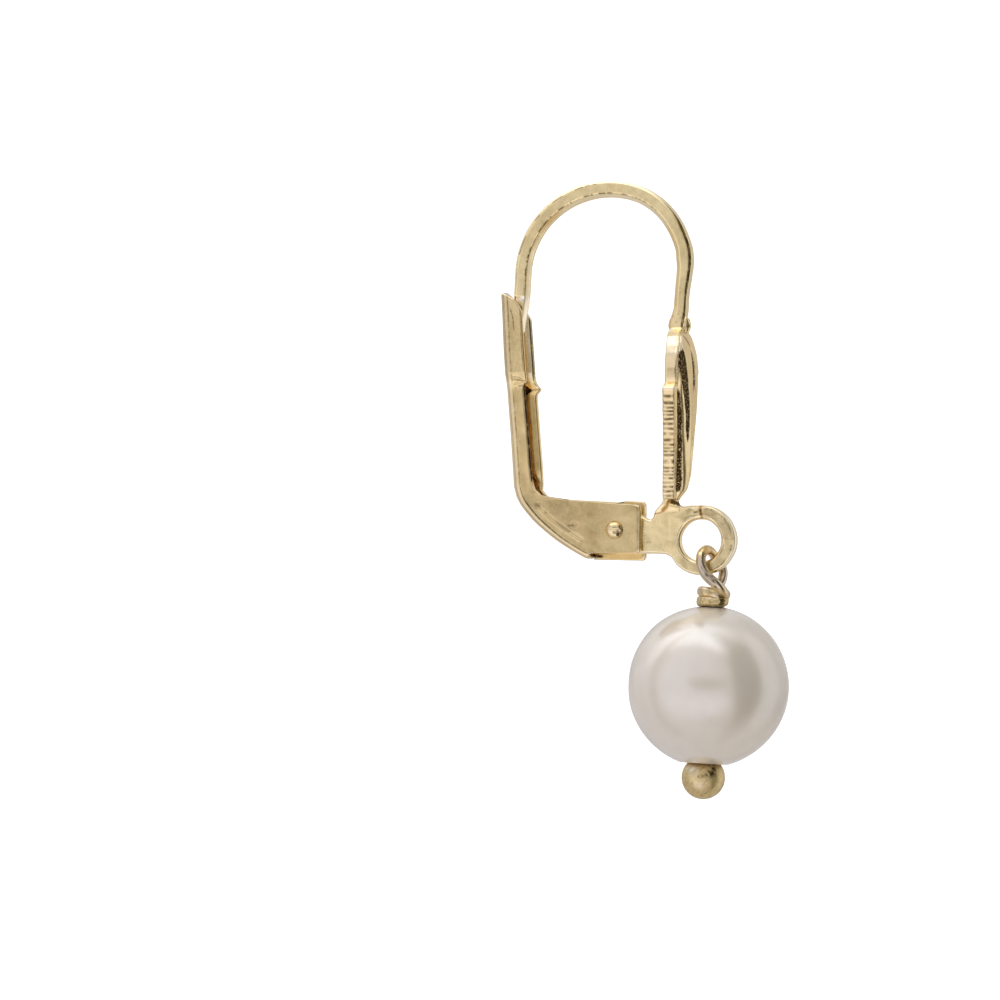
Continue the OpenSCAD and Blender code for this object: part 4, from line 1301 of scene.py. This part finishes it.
def head_pin_wire():
    line, t = curve_through(pin_path(), PIN_STEP)
    tangent = unit(np.gradient(line, axis=0))
    rings = pin_rings(line, t, tangent)
    rings = np.concatenate([rings, closing_rings(rings[-1], tangent[-1], PIN_TIP)])
    rings += 0.004 * ripple(rings, 0.3, 101)[..., None]
    noise, ragged = ripple(rings, 0.25, 103), ripple(rings, 0.09, 105)
    outward = rings - np.concatenate([line, np.repeat(line[-1:], len(PIN_TIP), 0)])[:, None, :]
    y, z = rings[..., 1], rings[..., 2]
    near_side = (rings[..., 0] < 0) * ramp(z, -19.84, -19.96)
    rings[..., 0] += 0.03 * ragged * near_side
    middle = (rings[..., 0] < 0) * band(y, -5.8, -5.1, 0.12) * band(z, -19.92, -19.34, 0.05)
    mark = pin_dark(y, z, outward, near_side, noise, ragged) + 0.3 * near_side * ramp(z, -20.22, -20.3)
    other = 0.8 * pin_dull(z, outward, noise, middle)
    # painted highlight on the first wrap's top and along the upper edge of the lower wraps
    upper_edge_highlight = near_side * band(z, -20.02, -19.88, 0.03) * (y > -6.0) * ramp(ragged, -0.3, 0.3)
    pale = np.clip(0.75 * middle * band(z, -19.56, -19.4, 0.05) + 0.8 * upper_edge_highlight, 0, 1)
    faces = grid_faces(len(rings), PIN_POINTS) + [tuple(range(PIN_POINTS))]
    build("head_pin_wire", rings.reshape(-1, 3), faces, wire_gold, "drop", "pin_gold", ["head_pin"],
          mark=np.clip(mark, 0, 1).ravel(), other=other.ravel(), pale=pale.ravel())


head_pin_wire()


def ball_points(radius, rings, count):
    a = np.repeat(math.pi * np.arange(1, rings) / rings, count)
    b = np.tile(circle(count), rings - 1)
    verts = np.concatenate([points_at(radius * np.sin(a) * np.cos(b), radius * np.sin(a) * np.sin(b),
                                      radius * np.cos(a)), [(0, 0, radius), (0, 0, -radius)]])
    faces = grid_faces(rings - 1, count)
    top, low = len(verts) - 2, len(verts) - 1
    last = (rings - 2) * count
    faces += [(top, (j + 1) % count, j) for j in range(count)]
    faces += [(low, last + j, last + (j + 1) % count) for j in range(count)]
    return verts, faces


def pin_frame(v):
    return np.outer(v[:, 0], ACROSS) + np.outer(v[:, 1], -FORE) + np.outer(v[:, 2], AXIS)


def pin_ball():
    v, faces = ball_points(BALL_R, 72, 128)
    n = v / BALL_R
    v = v * (1 + 0.006 * ripple(n, 0.5, 111) + 0.002 * ripple(n, 0.12, 113))[:, None]
    centre = PEARL - AXIS * BALL_DROP
    v = pin_frame(v) + centre
    toward = v - centre
    y, z = toward[:, 1] / BALL_R, toward[:, 2] / BALL_R

    def spot(at_y, at_z, y_scale, z_scale, width):
        return bump_at(np.hypot((y - at_y) * y_scale, (z - at_z) * z_scale), 0, width)

    # dark pits and painted highlight patches face the -X side
    facing = ramp(-toward[:, 0] / BALL_R, 0.2, 0.5)
    lines = spot(-0.06, 0.05, 0.55, 1, 0.07) * np.clip(0.8 + ripple(toward, 0.1, 119), 0, 1)
    broken = ramp(ripple(toward, 0.12, 115), -0.5, 0.05)
    pits = 1.1 * lines + 1.3 * spot(-0.56, 0.31, 1, 0.8, 0.2) * broken
    pits = pits + 0.4 * spot(-0.3, 0.12, 0.4, 1, 0.09) + 0.6 * spot(0.62, -0.18, 1, 1, 0.12) * broken
    scuffs = ripple(points_at(toward[:, 0], toward[:, 1] + toward[:, 2], toward[:, 2] * 0.3), 0.09, 117)
    mottle = 0.1 + 0.14 * ripple(toward, 0.3, 118) + 0.24 * ramp(scuffs, 0.1, 0.7)
    mark = np.clip(np.maximum(facing * np.clip(pits, 0, 1), mottle), 0, 1)
    painted_highlight_patch = facing * (spot(0.34, 0.42, 0.8, 1, 0.2) + 0.35 * spot(-0.02, -0.36, 0.8, 1, 0.22))
    build("pin_ball", v, faces, ball_gold, "drop", "pin_gold", ["head_pin"], mark=mark, sand=0.3,
          other=0.5 * ramp(z, 0.45, 0.75), pale=np.clip(painted_highlight_patch, 0, 1) * (1 - mark))


pin_ball()

PEARL_ROWS, PEARL_POINTS = 120, 192
HOLE_R, HOLE_EDGE_R, SEAT_R = 0.36, 0.41, 1.2


def pearl_profile():
    """Radius and height of each ring, from inside the hole's top over the bead to the seat below."""
    top = math.sqrt(PEARL_R ** 2 - HOLE_EDGE_R ** 2)
    angles = np.linspace(math.asin(HOLE_EDGE_R / PEARL_R), math.pi - math.asin(SEAT_R / PEARL_R), PEARL_ROWS)
    profile = [(HOLE_R, top - 0.6), (0.38, top - 0.06)]
    profile += [(PEARL_R * math.sin(a), PEARL_R * math.cos(a)) for a in angles]
    r, h = profile[-1]
    return profile + [(r - 0.04, h - 0.004), (r - 0.09, h + 0.004), (r - 0.16, h + 0.03), (0.92, h + 0.07),
                      (0.84, h + 0.16), (0.7, -3.5), (HOLE_R, -3.4), (HOLE_R, 0.0)]


def pearl_bead():
    profile, count, a = pearl_profile(), PEARL_POINTS, circle(PEARL_POINTS)
    verts = np.array([points_at(r * np.cos(a), r * np.sin(a), h) for r, h in profile])
    shape = ripple(verts / PEARL_R, 0.9, 121) * 0.012 + ripple(verts / PEARL_R, 0.35, 123) * 0.004
    verts = verts * (1 - 0.006 + shape)[..., None]
    faces = grid_faces(len(profile), count) + bridge((len(profile) - 1) * count, 0, count)
    verts = pin_frame(verts.reshape(-1, 3)) + PEARL
    build("pearl_bead", verts, faces, pearl_white, "drop", "pearl", ["pearl"])


pearl_bead()


# stage, light and camera


FLOOR_Z, ROOM_R, ROOM_CURVE, ROOM_TOP, ROOM_POINTS = -0.26, 0.95, 0.35, 0.9, 96


def floor_material():
    n = Nodes("pale_floor")
    s = n.shader.inputs
    s["Base Color"].default_value = (0.3, 0.3, 0.3, 1)
    s["Roughness"].default_value = 0.9
    s["Emission Color"].default_value = (1.0, 0.998, 0.995, 1)
    s["Emission Strength"].default_value = 0.99
    return n.material


def stage():
    """A pale floor that runs up into a round pale backdrop, in metres."""
    flat_r = ROOM_R - ROOM_CURVE
    profile = [(1e-4, FLOOR_Z), (0.2, FLOOR_Z), (0.4, FLOOR_Z), (flat_r, FLOOR_Z)]
    profile += [(flat_r + ROOM_CURVE * math.sin(a), FLOOR_Z + ROOM_CURVE - ROOM_CURVE * math.cos(a))
                for a in np.radians(np.linspace(6, 90, 15))]
    profile += [(ROOM_R, ROOM_TOP), (ROOM_R - 0.25, ROOM_TOP + 0.3), (1e-4, ROOM_TOP + 0.4)]
    a = circle(ROOM_POINTS)
    verts = np.concatenate([points_at(r * np.cos(a), r * np.sin(a), z) for r, z in profile])
    mesh = bpy.data.meshes.new("floor")
    mesh.from_pydata(verts.tolist(), [], grid_faces(len(profile), ROOM_POINTS))
    mesh.polygons.foreach_set("use_smooth", [True] * len(mesh.polygons))
    mesh.materials.append(floor_material())
    floor = bpy.data.objects.new("floor", mesh)
    bpy.context.scene.collection.objects.link(floor)
    floor.visible_glossy = False
    floor.visible_diffuse = False
    floor.visible_shadow = False


stage()


def direction(azimuth, elevation):
    a, e = math.radians(azimuth), math.radians(elevation)
    return (math.sin(a) * math.cos(e), -math.cos(a) * math.cos(e), math.sin(e))


BACKDROP = (0.66, 0.635, 0.61)
PANELS = (
    # azimuth, elevation, half-width, half-height in degrees, softness, colour
    (0, -90, 60, 60, 0.4, (0.70, 0.67, 0.655)),
    (120, 0, 60, 48, 0.4, (0.60, 0.58, 0.59)),
    (105, 55, 60, 24, 0.4, (0.9, 0.9, 0.9)),
    (62, 5, 22, 50, 0.5, (0.62, 0.60, 0.585)),
    (24, 8, 16, 50, 0.4, (0.98, 0.97, 0.99)),
    (-102, 2, 52, 55, 0.12, (0.87, 0.865, 0.93)),
    (-92, -32, 38, 15, 0.5, (1.2, 1.17, 1.28)),
    (-79, 5, 25, 8, 0.4, (0.38, 0.365, 0.33)),
    (-100, 80, 50, 19, 0.35, (2.1, 2.13, 2.24)),
    (-166, 0, 5, 50, 0.5, (0.40, 0.37, 0.33)),
    (-18, 8, 21, 60, 0.3, (0.10, 0.095, 0.045)))
UNEVEN_SCALE = 3.4
UNEVEN = (0.3, 0.7, 0.86, 1.14)


def studio():
    """Soft light from all round: broad bright panels, dimmer ones and one dark strip."""
    world = bpy.data.worlds.new("studio")
    bpy.context.scene.world = world
    world.use_nodes = True
    t = Tree(world.node_tree)
    place = t.node("ShaderNodeTexCoord").outputs["Generated"]
    out = t.node("ShaderNodeOutputWorld")
    back = t.node("ShaderNodeBackground")
    t.link(back.outputs[0], out.inputs[0])

    def dot(axis):
        n = t.node("ShaderNodeVectorMath", operation="DOT_PRODUCT")
        t.link(place, n.inputs[0])
        n.inputs[1].default_value = axis
        return n.outputs["Value"]

    colour = BACKDROP
    for azimuth, elevation, half_w, half_h, soft, panel_colour in PANELS:
        centre = Vector(direction(azimuth, elevation))
        right = Vector(direction(azimuth + 90, 0))
        across = t.math("DIVIDE", dot(right), math.sin(math.radians(half_w)))
        high = t.math("DIVIDE", dot(right.cross(centre)), math.sin(math.radians(half_h)))
        away = t.math("ADD", t.math("MULTIPLY", across, across), t.math("MULTIPLY", high, high))
        panel = t.spread(away, (1 + soft) ** 2, (1 - soft) ** 2)
        front = t.math("GREATER_THAN", dot(centre), 0.0)
        colour = t.mix(t.math("MULTIPLY", panel, front), colour, panel_colour)
    t.link(colour, back.inputs["Color"])
    uneven = t.node("ShaderNodeTexNoise")
    t.link(place, uneven.inputs["Vector"])
    uneven.inputs["Scale"].default_value = UNEVEN_SCALE
    uneven.inputs["Detail"].default_value = 2.0
    strength = t.node("ShaderNodeMapRange")
    for i, v in enumerate((uneven.outputs["Fac"], *UNEVEN)):
        t.put(strength, i, v)
    t.link(strength.outputs[0], back.inputs["Strength"])


studio()


VIEW_FROM = (-75.0, -1.5)
TARGET, DISTANCE = (0.0, 5.39, -15.03), 278.3


def camera():
    data = bpy.data.cameras.new("camera")
    data.type = "PERSP"
    data.lens, data.sensor_width = 200.0, 36.0
    data.clip_start, data.clip_end = 0.01, 4.0
    cam = bpy.data.objects.new("camera", data)
    bpy.context.scene.collection.objects.link(cam)
    back = Vector(direction(*VIEW_FROM))
    cam.location = Vector(TARGET) * MM + back * DISTANCE * MM
    cam.rotation_mode = "QUATERNION"
    cam.rotation_quaternion = (-back).to_track_quat("-Z", "Y")
    bpy.context.scene.camera = cam


camera()
bpy.context.scene.view_settings.view_transform = "Standard"
bpy.context.scene.view_settings.look = "None"
